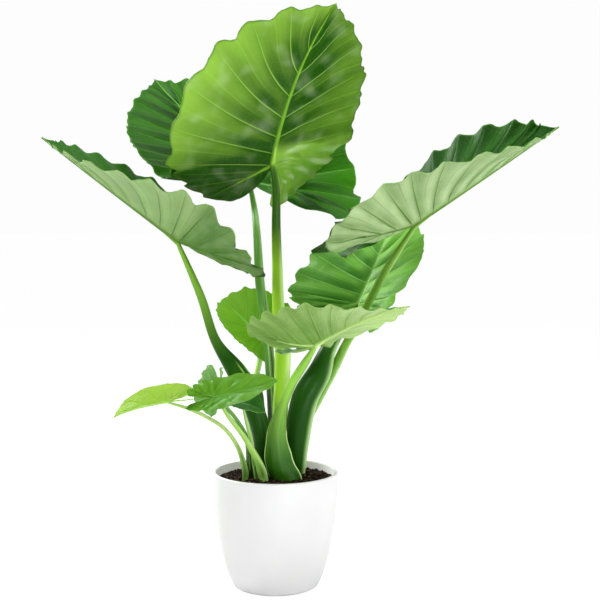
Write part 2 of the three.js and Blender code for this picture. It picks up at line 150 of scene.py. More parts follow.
def mark(tree, name):
    """One of the numbers that the mesh holds per point."""
    return add(tree, "ShaderNodeAttribute", attribute_name=name).outputs["Fac"]


def noise(tree, place, scale, detail, roughness=0.5):
    """Cloudy noise from 0 to 1."""
    values = {"Vector": place, "Scale": scale, "Detail": detail, "Roughness": roughness}
    return add(tree, "ShaderNodeTexNoise", values).outputs["Fac"]


def ramp(tree, value, low, high, first=0.0, last=1.0, soft=False):
    """A number that runs from first to last while value runs from low to high."""
    values = {"Value": value, "From Min": low, "From Max": high, "To Min": first, "To Max": last}
    kind = "SMOOTHSTEP" if soft else "LINEAR"
    return add(tree, "ShaderNodeMapRange", values, interpolation_type=kind).outputs["Result"]


def calc(tree, operation, *values, **settings):
    """One step of arithmetic with sockets or numbers."""
    return add(tree, "ShaderNodeMath", dict(enumerate(values)), operation=operation, **settings).outputs[0]


def blend(tree, share, a, b, **settings):
    """Colour a turned into colour b by a share. Each is a hex code or a socket."""
    a, b = (paint(c) if isinstance(c, str) else c for c in (a, b))
    values = {"Factor": share, "A": a, "B": b}
    return add(tree, "ShaderNodeMix", values, data_type="RGBA", **settings).outputs["Result"]


def relief(tree, skin, height, strength, distance):
    """Fine bumps on a surface. Returns the normal."""
    values = {"Height": height, "Strength": strength, "Distance": distance}
    normal = add(tree, "ShaderNodeBump", values).outputs["Normal"]
    tree.links.new(normal, skin.inputs["Normal"])
    return normal


white_plastic, tree, skin = finish("white_plastic")
place = own_place(tree)
tone = blend(tree, noise(tree, place, 14.0, 3.0), "d7d7d8", "d1d1d1")
grain = noise(tree, place, 900.0, 2.0)
spot = add(tree, "ShaderNodeSeparateXYZ", {"Vector": place})
level_spot = add(tree, "ShaderNodeCombineXYZ", {"X": spot.outputs["X"], "Y": spot.outputs["Y"]})
from_axis = add(tree, "ShaderNodeVectorMath", {0: level_spot.outputs[0]}, operation="LENGTH")
inner = ramp(tree, from_axis.outputs["Value"], 0.1195, 0.1180)
above_soil = ramp(tree, spot.outputs["Z"], 0.203, 0.207)
# Painted light: the inside wall above the soil is painted near white and given a faint white glow, standing
# in for light that reaches into the pot past the leaves.
inner_wall_painted_light = calc(tree, "MULTIPLY", inner, above_soil)
tree.links.new(blend(tree, inner_wall_painted_light, tone, "fcfcfb"), skin.inputs["Base Color"])
tree.links.new(blend(tree, inner_wall_painted_light, "000000", "fcf6fb"), skin.inputs["Emission Color"])
skin.inputs["Emission Strength"].default_value = 0.3
tree.links.new(ramp(tree, grain, 0.0, 1.0, 0.42, 0.56), skin.inputs["Roughness"])
relief(tree, skin, grain, 0.06, 0.0004)

lip_angle = np.linspace(0, np.pi, 15)[:, None]
rim_out = POT_OUTSIDE[-1][0] + 0.0003
rim_in = POT_OUTSIDE[-1][0] - 0.0062
lip_round = (rim_out - rim_in) / 2
lip = np.hstack([(rim_out + rim_in) / 2 + lip_round * np.cos(lip_angle),
                 POT_HEIGHT - lip_round + lip_round * np.sin(lip_angle)])
outside = spline(POT_OUTSIDE, np.linspace(0, 1, 82))
inside = outside[outside[:, 1] > 0.02] - [POT_WALL, 0]
pot_profile = np.vstack([[[0, 0]], outside, lip, inside[::-1], POT_INNER_CORNER, [[0, POT_FLOOR]]])
pot = turned("pot_shell", pot_profile, POT_SIDES, [white_plastic])
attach(pot, "root")
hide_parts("pot")

# Potting soil
# Dark peaty mix, loose and crumbly, filled to a little under the rim and heaped toward the stems.
# Lighter chips of bark lie on it and half sunk in it.
SOIL_EDGE = 0.216
SOIL_MOUND = 0.008
SOIL_RADIUS = 0.1178
SOIL_RINGS = 125
SOIL_SIDES = 400
SOIL_WALL = ((0.1172, 0.19), (0.1110, 0.14), (0.0790, 0.020), (0.0, 0.020))
CHIPS = 520
CHIP_LENGTH = (0.0018, 0.0062)
CHIP_WIDTH = (0.0012, 0.0034)
CHIP_THICKNESS = (0.0007, 0.0020)
CHIP_TILT = 0.7


def crumbs(x, y, size, seed):
    """Cell noise: the plane is cut into squares with one random point in each, and the height is
    one minus the distance to the nearest such point in cell widths, never under nought."""
    jitter = np.random.default_rng(seed).random((64, 64, 3))
    column, row = np.floor(x / size).astype(int), np.floor(y / size).astype(int)
    best = np.zeros_like(x)
    for dx in (-1, 0, 1):
        for dy in (-1, 0, 1):
            cell = jitter[(column + dx) % 64, (row + dy) % 64]
            away = np.hypot(x / size - (column + dx + cell[..., 0]), y / size - (row + dy + cell[..., 1]))
            best = np.maximum(best, (0.5 + 0.5 * cell[..., 2]) * np.clip(1 - away, 0, 1))
    return best


def soil_height(r, angle):
    """Level of the soil: an edge height, a low cosine mound and three sizes of crumbs on it."""
    x, y = r * np.cos(angle), r * np.sin(angle)
    mound = SOIL_MOUND * np.cos(np.pi / 2 * np.minimum(r / SOIL_RADIUS, 1)) ** 1.5
    rough = 0.0075 * crumbs(x, y, 0.012, 3) + 0.0052 * crumbs(x + 0.3, y, 0.006, 4)
    rough = rough + 0.0026 * crumbs(x, y + 0.2, 0.003, 5)
    return SOIL_EDGE + mound + (rough - 0.0048) * np.clip((SOIL_RADIUS - r) / 0.004, 0.35, 1)


def spun(a, b, angle):
    """Two coordinates of every chip's points, turned by the chip's own angle."""
    c, s = np.cos(angle)[:, None], np.sin(angle)[:, None]
    return a * c - b * s, a * s + b * c


potting_mix, tree, skin = finish("potting_mix")
place = own_place(tree)
fine = noise(tree, place, 420.0, 6.0, 0.7)
patch = add(tree, "ShaderNodeTexVoronoi", {"Vector": place, "Scale": 240.0}).outputs["Color"]
dark = blend(tree, fine, "070402", "20130a")
mixed = blend(tree, ramp(tree, patch, 0.72, 0.95), dark, "4c2f16")
tree.links.new(mixed, skin.inputs["Base Color"])
skin.inputs["Roughness"].default_value = 0.93
skin.inputs["Specular IOR Level"].default_value = 0.15
relief(tree, skin, fine, 0.8, 0.0015)

soil_angle = np.linspace(0, 2 * np.pi, SOIL_SIDES + 1)
soil_angle[-1] = 0
radii, angles = np.meshgrid(np.linspace(0, SOIL_RADIUS, SOIL_RINGS), soil_angle, indexing="ij")
level = soil_height(radii, angles)
level[0] = level[0, 0]
top = np.stack([radii * np.cos(angles), radii * np.sin(angles), level], -1)
wall = [np.stack([r * np.cos(soil_angle), r * np.sin(soil_angle), z + 0 * soil_angle], -1)
        for r, z in SOIL_WALL]
soil_points = np.concatenate([top, wall]).reshape(-1, 3)
soil_faces = grid_faces(SOIL_RINGS + len(SOIL_WALL), SOIL_SIDES + 1)
soil = shell("soil_mix", soil_points, soil_faces, [potting_mix])
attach(soil, "root")
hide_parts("soil")

bark_chip, tree, skin = finish("bark_chip")
streak = noise(tree, own_place(tree), 110.0, 5.0, 0.7)
shade = add(tree, "ShaderNodeValToRGB", {"Fac": streak})
for stop, position, colour in zip(shade.color_ramp.elements, (0.38, 0.8), ("0c0704", "7a5a3e")):
    stop.position = position
    stop.color = paint(colour)
tree.links.new(shade.outputs["Color"], skin.inputs["Base Color"])
skin.inputs["Roughness"].default_value = 0.88
skin.inputs["Specular IOR Level"].default_value = 0.2
relief(tree, skin, streak, 0.6, 0.001)

# Chips: one knobbly lump of eight sides, stretched, tilted, turned and dropped at random places.
draw = np.random.default_rng(21)
ring, turn = np.meshgrid(np.linspace(0, np.pi, 5), np.linspace(0, 2 * np.pi, 9), indexing="ij")
lump = np.stack([np.sin(ring) * np.cos(turn), np.sin(ring) * np.sin(turn), np.cos(ring)], -1)
lump[:, -1] = lump[:, 0]
knob = 1 + 0.22 * np.sin(3 * turn + 2 * ring) * np.sin(ring)
knob[:, -1] = knob[:, 0]
lump = (lump * knob[..., None]).reshape(-1, 3)
spin, tilt = draw.random((2, CHIPS)) * [[2 * np.pi], [CHIP_TILT]]
stretch = np.stack([draw.uniform(*size, CHIPS) for size in (CHIP_LENGTH, CHIP_WIDTH, CHIP_THICKNESS)], 1)
far = np.sqrt(draw.uniform(0.02, 0.96, CHIPS)) * (SOIL_RADIUS - 0.005)
way = draw.uniform(0, 2 * np.pi, CHIPS)
middle = np.stack([far * np.cos(way), far * np.sin(way), soil_height(far, way) + 0.0003], 1)
x, y, z = np.moveaxis(lump[None] * stretch[:, None], -1, 0)
x, z = spun(x, z, tilt)
x, y = spun(x, y, spin)
chip_points = (np.stack([x, y, z], -1) + middle[:, None]).reshape(-1, 3)
chip_faces = grid_faces(*ring.shape)[None] + np.arange(CHIPS)[:, None, None] * len(lump)
chips = shell("bark_chips", chip_points, chip_faces.reshape(-1, 3), [bark_chip])
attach(chips, "root")

# Rootstock
# The squat brown root crown that all the stems spring from, buried in the soil. It keeps the CAD
# mesh and gets a rough bark.
root_bark, tree, skin = finish("root_bark")
rings = noise(tree, own_place(tree), 60.0, 5.0)
tree.links.new(blend(tree, rings, "4b3421", "8a6a48"), skin.inputs["Base Color"])
skin.inputs["Roughness"].default_value = 0.9
relief(tree, skin, rings, 0.5, 0.002)
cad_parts["rootstock"].data.materials.clear()
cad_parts["rootstock"].data.materials.append(root_bark)

# Leaf A, the tall one in front
# A big arrow-shaped blade on a thick stem, seen from its pale underside. The blade is one thin
# skin with raised ribs below, puffed up between its side veins and waved along the margin.
FRONT = [(0, 1), (0.06, 0.965), (0.36, 0.87), (0.7, 0.68), (0.92, 0.45), (1, 0.2), (0.98, -0.03)]
LOBE = [(0.9, -0.38), (0.76, -0.72), (0.55, -0.95), (0.34, -0.97), (0.15, -0.66), (0.04, -0.28), (0, 0)]
LOBE_RIB_END = np.array([0.3, -0.5])
LOBE_VEINS = 6
LARGE_LEAF = 150
MIDRIB_STEPS = 24
SKEW = 0.06
GATHER = 1.3
SKIN = 0.0010
SKIN_AT_RIBS = 0.0008
VEIN_WIDTH = 0.0016
VEIN_RIDGE = 0.0012
VEIN_FURROW = 0.0004
MIDRIB_REACH = 0.010
STEM_FOOT = 186.3
SOIL_LINE = 216
SHEATH_BASE = (190, 214)
STEM_END_GAP = 1.2
STEM_TO_RIB = 0.92
TAIL_LENGTH = 0.16
TAIL_RINGS = 15
# Pale colour of the painted highlights and painted sheen on the blades.
SHEEN = "e4f4c4"
# Dark green painted on the nibs, the small points of the margin.
NIB_DARK = "2c4f18"
LEAF_HABIT = dict(
    halves=1, lobe_fold=0, tip_step=0.05, scallop=0.02, grain=1.0, crumple=0.5, back=1.0, soft=0.06,
    rolled=0.3, faint=0, nibs=((), ()), bays=((), ()), light_rim=0.1, panel=(0.1, 0.1), light_tip=0.0,
    light_lobe=0.0, lip=(1.05, 0.28), groove=0.4, wing=0.1, sheath=(0.15, 0.5), frill=0.0,
)
BY_HALF = ("lobe", "halves", "fold", "curl", "lobe_fold", "wave", "scallop", "crumple", "back", "soft",
           "rolled", "faint", "light", "light_rim", "light_lobe")


def habit(**own):
    """The values of one leaf, its own ones over those that most leaves share. A value by half may
    be given once for both. Lengths are in mm and angles in degrees.

    at, points, faces: the junction, the way the blade points and the way its upper face looks.
    length, width, lobe, halves: its size in front of and behind the junction and each half's share.
    fold, tip_fold, lobe_fold, curl, droop, sway, twist, sag: how it is bent.
    waves, wave, scallop, rolled: side veins, and how its margin waves, is notched and rolls in.
    nibs, bays: single points and dents of the margin, as (place, width, size).
    puff, ruffle, crumple, grain, rib, tip_step: bulges, ripples, creases, veins, midrib, tip.
    back, soft: where the lobe begins in creases and light, and how gently.
    light, light_rim, light_tip, light_lobe, panel, faint: tone, which holds painted light and shade as well
    as the leaf's own tone, and how veins fade.
    stem, opens, sheath, groove, wing, lip, frill: centre line with radii, and the sheath's form."""
    leaf = dict(LEAF_HABIT, **own)
    for name in BY_HALF:
        if not isinstance(leaf[name], tuple):
            leaf[name] = (leaf[name], leaf[name])
    return leaf


def smooth(x, low, high):
    """0 under low, 1 over high, with a soft step between."""
    s = np.clip((x - low) / (high - low), 0, 1)
    return s * s * (3 - 2 * s)


def bell(x, middle, wide):
    """1 at the middle, falling off on both sides within about the width."""
    return np.exp(-(((x - middle) / wide) ** 2))


def dome(away, size):
    """Height of a half round rib at a distance from its line."""
    return size * np.sqrt(np.clip(1 - (away / size) ** 2, 0, 1))


def unit(v):
    """The same direction with length one."""
    return v / np.linalg.norm(v, axis=-1, keepdims=True)


def leaf_axes(leaf):
    """The blade's way ahead, the way its upper face looks, and the way across."""
    ahead = unit(np.array(leaf["points"], float))
    up = np.array(leaf["faces"], float)
    up = unit(up - (up @ ahead) * ahead)
    return ahead, up, np.cross(ahead, up)


def half_size(leaf, k):
    """Width of a half blade, and its length in front of and behind the junction, in metres."""
    return leaf["width"] / 2000 * leaf["halves"][k], leaf["length"] / 1000, leaf["lobe"][k] / 1000


def flat_half(q, t):
    """Flat half blade in shares of its size. q runs 0 to 1 down the front, 1 to 2 round the
    lobe's outer side and 2 to 3 back up to the notch; t runs from the ribs to the margin."""
    knot = np.where(q <= 1, q * 6, np.where(q <= 2, 6 + (q - 1) * 3, 9 + (q - 2) * 4))
    edge = spline(FRONT + LOBE, knot / 13)
    out = np.where(q <= 1, 0, np.where(q <= 2, q - 1, 3 - q))
    rib = out[..., None] * LOBE_RIB_END
    rib[..., 1] += np.where(q <= 1, 1 - q, 0)
    place = rib + (edge - rib) * t[..., None]
    place[..., 1] -= np.where(q <= 1, 0.2 * t * (1 - t) * np.sin(np.pi * np.minimum(q, 1)), 0)
    return place


def bent_half(leaf, q, t, side):
    """Half blade in space. The midrib is an arc summed from its direction, which droops and sways
    with the square and the first power of the way to the tip, and the lobe's line sags. Each half
    is a circular arc square to it, which starts at the fold angle and turns by the curl. Returns
    the points, the way the upper face looks, the same on the midrib, and the flat place in m."""
    ahead0, up0, across0 = leaf_axes(leaf)
    k = 0 if side < 0 else 1
    half, length, lobe = half_size(leaf, k)
    flat = flat_half(q, t)
    x = flat[..., 0] * half
    y = np.where(flat[..., 1] > 0, flat[..., 1] * length, flat[..., 1] * lobe)
    droop, sag, sway, twist = np.radians([leaf[n] for n in ("droop", "sag", "sway", "twist")])

    def direction(s):
        f, b = np.maximum(s, 0) / length, np.maximum(-s, 0) / lobe
        rise, turn = (-droop * f * f + sag * b)[..., None], (sway * f)[..., None]
        return np.cos(rise) * (np.cos(turn) * ahead0 + np.sin(turn) * across0) + np.sin(rise) * up0

    line = sum(direction(y * (i + 0.5) / MIDRIB_STEPS) for i in range(MIDRIB_STEPS))
    point = np.array(leaf["at"]) / 1000 + line * (y / MIDRIB_STEPS)[..., None]
    turn = (sway * np.maximum(y / length, 0))[..., None]
    over = np.cos(turn) * across0 - np.sin(turn) * ahead0
    normal = unit(np.cross(over, direction(y)))
    roll = (twist * np.clip(y / length, -1, 1))[..., None]
    over, normal = np.cos(roll) * over + np.sin(roll) * normal, np.cos(roll) * normal - np.sin(roll) * over
    start = np.radians(leaf["fold"][k] + leaf["tip_fold"] * np.clip(y / length, 0, 1)
                       + leaf["lobe_fold"][k] * np.clip(-y / lobe, 0, 1))
    bend = np.radians(leaf["curl"][k]) * x / half / 2
    chord = x * np.sinc(bend / np.pi)
    point = point + side * over * (chord * np.cos(start + bend))[..., None]
    point = point + normal * (chord * np.sin(start + bend))[..., None]
    end = (start + 2 * bend)[..., None]
    return point, normal * np.cos(end) - side * over * np.sin(end), normal, np.stack([x, y], -1)


def blade_grid(leaf):
    """Places on a half blade: the count of side veins passed, the way t out from the ribs, and
    the places v and q along the outline. Columns run out along the side veins and stand close
    together at each one; rows stand close at the ribs and the margin."""
    per_vein, rows = (14, 46) if leaf["length"] > LARGE_LEAF else (12, 30)
    waves = leaf["waves"]
    veins = waves + LOBE_VEINS
    s = np.arange(per_vein) / per_vein
    count = np.arange(veins)[:, None] + s - 0.75 * np.sin(2 * np.pi * s) / (2 * np.pi)
    out = 0.5 - 0.5 * np.cos(np.pi * np.linspace(0, 1, rows))
    count, t = np.meshgrid(np.append(count.ravel(), veins), out, indexing="ij")
    v = np.where(count <= waves, count / waves, 1 + (count - waves) / 3)
    ahead = np.minimum(v, 1)
    at_rib = np.where(v < 1, 1 - (1 - ahead) ** GATHER, v)
    at_edge = v - SKEW * np.sin(np.pi * ahead)
    at_edge = at_edge + leaf["tip_step"] * bell(v, 0.13, 0.12) * smooth(v, 0, 0.1)
    q = at_rib + (at_edge - at_rib) * t - 0.17 * t * (1 - t) * np.sin(np.pi * ahead)
    return count, t, v, q


def rib_lines(leaf, k, flat):
    """How far the points are from the midrib and from the lobe's rib, and how thick both are
    there: they thin out toward their ends."""
    half, length, lobe = half_size(leaf, k)
    x, y = flat[..., 0], flat[..., 1]
    near_mid = np.hypot(x, np.minimum(y, 0))
    line = LOBE_RIB_END * [half, lobe]
    share = np.clip((flat @ line) / (line @ line), 0, 1)
    near_lobe = np.linalg.norm(flat - share[..., None] * line, axis=-1)
    mid_size = leaf["rib"] / 1000 * (1 - 0.78 * np.clip(y / length, 0, 1) ** 0.9)
    lobe_size = leaf["rib"] / 1000 * 0.55 * (1 - 0.8 * share)
    return near_mid, near_lobe, mid_size, lobe_size


def skin_normal(place, side, normal, mid_normal, near_mid, inner):
    """The way the skin faces: square to its bulges, but to the plain bent half along the ribs and
    to the midrib's own plane close to it, so that both halves meet there."""
    facing = np.cross(np.gradient(place, axis=1), np.gradient(place, axis=0)) * -side
    strength = np.linalg.norm(facing, axis=-1, keepdims=True)
    facing = np.where(strength > 1e-9, facing / np.maximum(strength, 1e-12), normal)
    facing = np.where((facing * normal).sum(-1, keepdims=True) < 0, -facing, facing)
    on_mid, at_ribs = bell(near_mid, 0, MIDRIB_REACH)[..., None], inner[..., None]
    return unit(facing * (1 - on_mid) * (1 - at_ribs) + normal * (1 - on_mid) * at_ribs
                + mid_normal * on_mid)


def half_blade(leaf, side, grid, draw):
    """One half of a blade. The margin's reach has notches, rolls, bays and nibs. To the bent half
    come the margin's waves, a bulge between veins, ripples, low swells and creases. The underside
    lies below by the skin's thickness and by rounded ridges along midrib, lobe ribs and side
    veins. Returns both faces, and for the colours one number per point under each name."""
    count, t, v, q = grid
    k = 0 if side < 0 else 1
    length = leaf["length"] / 1000
    stops = np.arange(leaf["waves"] + LOBE_VEINS + 2)
    swell = np.interp(count, stops, draw.uniform(0.5, 1.3, len(stops)))
    drift = np.interp(count, stops, draw.uniform(-0.12, 0.12, len(stops)))
    ends = np.minimum(1, 5 * v) * np.minimum(1, 3 - v)
    beat = np.cos(2 * np.pi * (count + drift))
    notches = beat + 0.45 * np.cos(2 * np.pi * (2.3 * count - 2 * drift))
    bays = sum(size * bell(v, at, wide) for at, wide, size in leaf["bays"][k])
    nibs = sum(size * bell(v, at, wide) for at, wide, size in leaf["nibs"][k])
    reach = t * (1 + bays) + leaf["scallop"][k] * notches * swell * ends * smooth(v, 0.04, 0.35) * t**4
    trough = np.clip(-beat, 0, 1) ** 1.5 * smooth(v, 0.75, 1.1) * (1 - smooth(v, 2.3, 2.6))
    rolled = leaf["rolled"][k] * trough * swell
    reach += 0.04 * rolled * t**6 - 0.13 * rolled * t**16 + nibs * t**24
    place, normal, mid_normal, flat = bent_half(leaf, q, reach, side)
    x, y = flat[..., 0], flat[..., 1]

    wave = leaf["wave"][k] / 1000 * beat * smooth(v, 0.04, 0.42) * ends * t**3 * swell
    bulge = leaf["puff"] / 1000 * np.abs(np.sin(np.pi * count)) ** 0.8 * smooth(v, 0.08, 0.36)
    bulge = bulge * ends * np.sin(np.pi * t**0.8)
    ripple = leaf["ruffle"] / 1000 * np.sin(2 * np.pi * (2.6 * count + 3 * drift)) * t**6
    ripple = ripple * smooth(v, 0.15, 0.45) * ends * swell - (0.009 * rolled + 0.02 * nibs) * t**9
    seed = draw.uniform(0, 6, 8)
    roll = np.sin(x / 0.021 + seed[3] + 1.3 * np.sin(y / 0.03 + seed[4]))
    roll = roll * np.sin(y / 0.027 + seed[5] + x / 0.05)
    roll = 0.0011 * roll * (1 if leaf["length"] > LARGE_LEAF else 0.4) * smooth(t, 0.02, 0.2)
    crease = np.sin(np.pi * (1.1 * count + 0.5 * np.sin(5 * t + seed[0]) + seed[1]))
    crease = 1.7 * np.sqrt(crease**2 + 0.02) - 1.1
    wrinkle = np.sin(x / 0.007 + seed[2] + 2 * np.sin(y / 0.012)) * np.sin(y / 0.009 + x / 0.02)
    behind = smooth(q, leaf["back"][k] - 0.06, leaf["back"][k] + leaf["soft"][k])
    crease = (crease + 0.5 * wrinkle) * behind * (1 - smooth(v, 2.7, 3)) * smooth(t, 0.08, 0.35)
    crumple = leaf["crumple"][k] / 1000 * crease
    place = place + normal * (wave + bulge + ripple + roll + crumple)[..., None]

    near_mid, near_lobe, mid_size, lobe_size = rib_lines(leaf, k, flat)
    hump = np.maximum(dome(near_mid, mid_size), dome(near_lobe, lobe_size))
    off_vein = np.abs(count - np.round(count)) * (length / leaf["waves"])
    vein = bell(off_vein, 0, VEIN_WIDTH * (1 - 0.6 * t) * leaf["grain"]) * ends * (1 - 0.7 * t)
    inner = bell(t, 0, 0.035)
    thick = SKIN + SKIN_AT_RIBS * (1 - smooth(t, 0, 0.5)) + hump
    thick = thick + VEIN_RIDGE * leaf["grain"] * vein * (1 - inner)
    down = skin_normal(place, side, normal, mid_normal, near_mid, inner)
    above = place - down * (VEIN_FURROW * vein * (1 - inner))[..., None]
    below = place - down * thick[..., None]

    # The tone mark is the leaf's own tone with painted light and shade: each half, its rim, tip and lobe are
    # painted lighter or darker as light falls on them, and painted shade and highlight follow the creases
    # and swells.
    light = leaf["light"][k] + leaf["light_rim"][k] * t**1.5 + leaf["light_tip"] * np.clip(y / length, 0, 1)
    light = light + leaf["light_lobe"][k] * behind + 90 * crumple + 50 * roll
    fading = (1 - 0.6 * t) * smooth(t, 0.02, 0.15) * ends
    # Painted shade across the panels between side veins: the first panel number makes each panel's middle
    # paler than its veins, partly the skin's own colour; the second darkens one side of each vein, as the
    # relief would be shaded.
    light = light + leaf["panel"][0] * (np.abs(np.sin(np.pi * count)) - 0.6) * fading
    light = light + leaf["panel"][1] * np.sin(2 * np.pi * count) * fading
    # Painted highlights, the gleam: pale patches on the folds of a strongly crumpled lobe stand in for
    # glossy reflections.
    patch = np.sin(2 * np.pi * 1.4 * count + seed[6] + 1.6 * np.sin(5 * t))
    patch = patch * (0.55 + 0.45 * np.sin(9 * t + 2.2 * count + seed[7]))
    gleam = 0.85 * behind * smooth(patch, -0.1, 0.9) * smooth(t, 0.1, 0.3)
    return above, below, {
        "rib": np.maximum(1 - smooth(near_mid / mid_size, 0.75, 1.25),
                          1 - smooth(near_lobe / lobe_size, 0.8, 1.6)),
        "tone": light,
        "edge": smooth(t, 0.975, 1.0),
        "nib": smooth(t + nibs * t**24, 1.001, 1.012),
        "open": smooth(v, 0.08, 0.4) * (1 - smooth(v, 2.7, 3.0)),
        "gleam": gleam * (leaf["crumple"][k] > 3),
        "faint": leaf["faint"][k] * behind,
    }


def blade(name, leaf, node, upper, under):
    """Closed leaf blade: two halves, each with a face above, one below and a rim between them
    along the margin, wound so that all normals look outward."""
    grid = blade_grid(leaf)
    columns, rows = grid[0].shape
    size = columns * rows
    draw = np.random.default_rng(leaf["seed"])
    points, faces, groups, marks = [], [], [], {}
    for side, start in ((-1, 0), (1, 2 * size)):
        above, below, half_marks = half_blade(leaf, side, grid, draw)
        points += [above.reshape(-1, 3), below.reshape(-1, 3)]
        cells = grid_faces(columns, rows, start)
        edge = start + np.arange(columns) * rows + rows - 1
        a, b, c, d = edge[:-1], edge[1:], edge[1:] + size, edge[:-1] + size
        rim = np.concatenate([np.stack([a, b, c], 1), np.stack([a, c, d], 1)])
        faces += [cells[:, ::-side], cells[:, ::side] + size, rim[:, ::-side]]
        groups += [np.zeros(len(cells)), np.ones(len(cells) + len(rim))]
        for mark_name, values in half_marks.items():
            marks.setdefault(mark_name, []).extend([values.reshape(-1)] * 2)
    uv = np.stack(grid[:2], -1).reshape(-1, 2)
    piece = shell(name, np.concatenate(points), np.concatenate(faces), [upper, under],
                  np.concatenate(groups), np.concatenate([uv] * 4),
                  {mark_name: np.concatenate(parts) for mark_name, parts in marks.items()})
    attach(piece, "root")
    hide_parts(node)


def stem(name, leaf, node, material):
    """Closed leaf stem: rings along a Catmull-Rom line from the rootstock to the blade, then a
    thinning tail along its midrib. Along the sheath, which opens from the soil up, the ring's
    radius grows at two lips and shrinks in the groove between them."""
    sides, rings = (72, 140) if leaf["length"] > LARGE_LEAF else (36, 90)
    ahead, face, _ = leaf_axes(leaf)
    at, radius = np.array(leaf["at"], float), leaf["rib"] * STEM_TO_RIB
    (x, y, r), *rest = leaf["stem"]
    end = at - face * (radius + STEM_END_GAP)
    path = np.array([(x, y, STEM_FOOT, r), (x, y, SOIL_LINE, r), *rest, (*end, radius)])
    reach = leaf["length"] * TAIL_LENGTH
    tail = np.linspace(0, 1, TAIL_RINGS + 1)[1:, None]
    tail_line = at + ahead * reach * tail - face * (radius + STEM_END_GAP - (radius * 0.55) * tail)
    u = np.linspace(0, 1, rings)
    line = np.vstack([spline(path, u), np.hstack([tail_line, radius * (1 - 0.75 * tail)])])
    length_mark = np.concatenate([[0], u, 1 + tail[:, 0], [2]])
    u = np.concatenate([u, np.ones(TAIL_RINGS)])

    # The line's way is smoothed over nine rings, and the two lowest rings stay level.
    way = unit(np.gradient(line[:, :3], axis=0))
    way[0] = [0, 0, 1]
    blur = np.ones(9) / 9
    padded = np.pad(way, ((4, 4), (0, 0)), mode="edge")
    way = unit(np.stack([np.convolve(column, blur, "valid") for column in padded.T], -1))
    way[:2] = [0, 0, 1]
    open_way = np.array(leaf["opens"], float)
    open_way = unit(open_way - (way @ open_way)[:, None] * way)
    side_way = np.cross(way, open_way)

    angle = np.linspace(-np.pi, np.pi, sides + 1)
    low, high = leaf["sheath"]
    opening = smooth(u, low, low + 0.1) * (1 - smooth(u, high - 0.15, high))
    opening = (opening * smooth(line[:, 2], *SHEATH_BASE))[:, None]
    lips = bell(np.abs(angle), *leaf["lip"])
    cut = bell(angle, 0, 0.5)
    frill = 1 + leaf["frill"] * np.sin(u * leaf["length"] / 5)[:, None]
    ribs = 1 + 0.003 * np.sin(angle * 14)
    size = line[:, 3:4] * (1 + opening * (leaf["wing"] * lips * frill - leaf["groove"] * cut)) * ribs
    ring = line[:, None, :3] + open_way[:, None] * (size * np.cos(angle))[..., None]
    ring = ring + side_way[:, None] * (size * np.sin(angle))[..., None]
    ring[:, -1] = ring[:, 0]
    caps = np.repeat(line[[0, -1], None, :3], sides + 1, axis=1)
    points = np.concatenate([caps[:1], ring, caps[1:]]).reshape(-1, 3) / 1000

    capped = ((1, 1), (0, 0))
    open_x, side_x = (np.pad(e[:, :1], capped, mode="edge") for e in (open_way, side_way))
    long, turn = np.broadcast_arrays(length_mark[:, None], angle / (2 * np.pi) + 0.5)
    piece = shell(name, points, grid_faces(*long.shape)[:, ::-1], [material], None,
                  np.stack([turn, long], -1).reshape(-1, 2),
                  {"lip": np.pad(opening * lips, capped).reshape(-1),
                   "groove": np.pad(opening * cut, capped).reshape(-1),
                   "right": (open_x * np.cos(angle) + side_x * np.sin(angle)).reshape(-1)})
    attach(piece, "root")
    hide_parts(node)


# Shared by all blades: masks of the side veins, of fine streaks and of the net of small veins
# between them, drawn from the UV map, which holds the count of veins passed and the way out.
vein_lines = bpy.data.node_groups.new("vein_lines", "ShaderNodeTree")
vein_lines.interface.new_socket("Width", in_out="INPUT", socket_type="NodeSocketFloat").default_value = 0.05
for socket_name in ("Side veins", "Net", "Streaks"):
    vein_lines.interface.new_socket(socket_name, in_out="OUTPUT", socket_type="NodeSocketFloat")
tree = vein_lines
given = tree.nodes.new("NodeGroupInput")
result = tree.nodes.new("NodeGroupOutput")
uv_map = add(tree, "ShaderNodeUVMap", uv_map="veins").outputs["UV"]
across = add(tree, "ShaderNodeSeparateXYZ", {"Vector": uv_map})
passed, outward = across.outputs["X"], across.outputs["Y"]
part = calc(tree, "FRACT", calc(tree, "ADD", passed, 0.5))
away = calc(tree, "ABSOLUTE", calc(tree, "SUBTRACT", part, 0.5))
thin = ramp(tree, outward, 0.0, 1.0, 1.0, 0.35)
width = calc(tree, "MULTIPLY", given.outputs["Width"], thin)
core = ramp(tree, away, width, calc(tree, "MULTIPLY", width, 0.25), soft=True)
lines = calc(tree, "MULTIPLY", core, ramp(tree, outward, 0.86, 1.0, 1.0, 0.0))
from_half = calc(tree, "ABSOLUTE", calc(tree, "SUBTRACT", away, 0.5))
minor = ramp(tree, from_half, 0.03, 0.006, 0.0, 0.4, soft=True)
minor_out = calc(tree, "MULTIPLY", minor, ramp(tree, outward, 0.15, 0.5))
both = calc(tree, "MAXIMUM", lines, minor_out)
tree.links.new(both, result.inputs["Side veins"])
grain_x = calc(tree, "MULTIPLY", passed, 9.0)
grain_y = calc(tree, "MULTIPLY", outward, 3.0)
grain_at = add(tree, "ShaderNodeCombineXYZ", {"X": grain_x, "Y": grain_y}).outputs[0]
tree.links.new(noise(tree, grain_at, 1.0, 3.0), result.inputs["Streaks"])
slant = calc(tree, "SUBTRACT", outward, calc(tree, "MULTIPLY", away, 1.1))
stripes = calc(tree, "SINE", calc(tree, "MULTIPLY", slant, 70.0))
cells = add(tree, "ShaderNodeTexVoronoi", {"Vector": own_place(tree), "Scale": 130.0},
            feature="DISTANCE_TO_EDGE")
cell_line = ramp(tree, cells.outputs["Distance"], 0.12, 0.0)
half_stripes = calc(tree, "MULTIPLY_ADD", stripes, 0.25, 0.25)
tree.links.new(calc(tree, "ADD", half_stripes, cell_line), result.inputs["Net"])


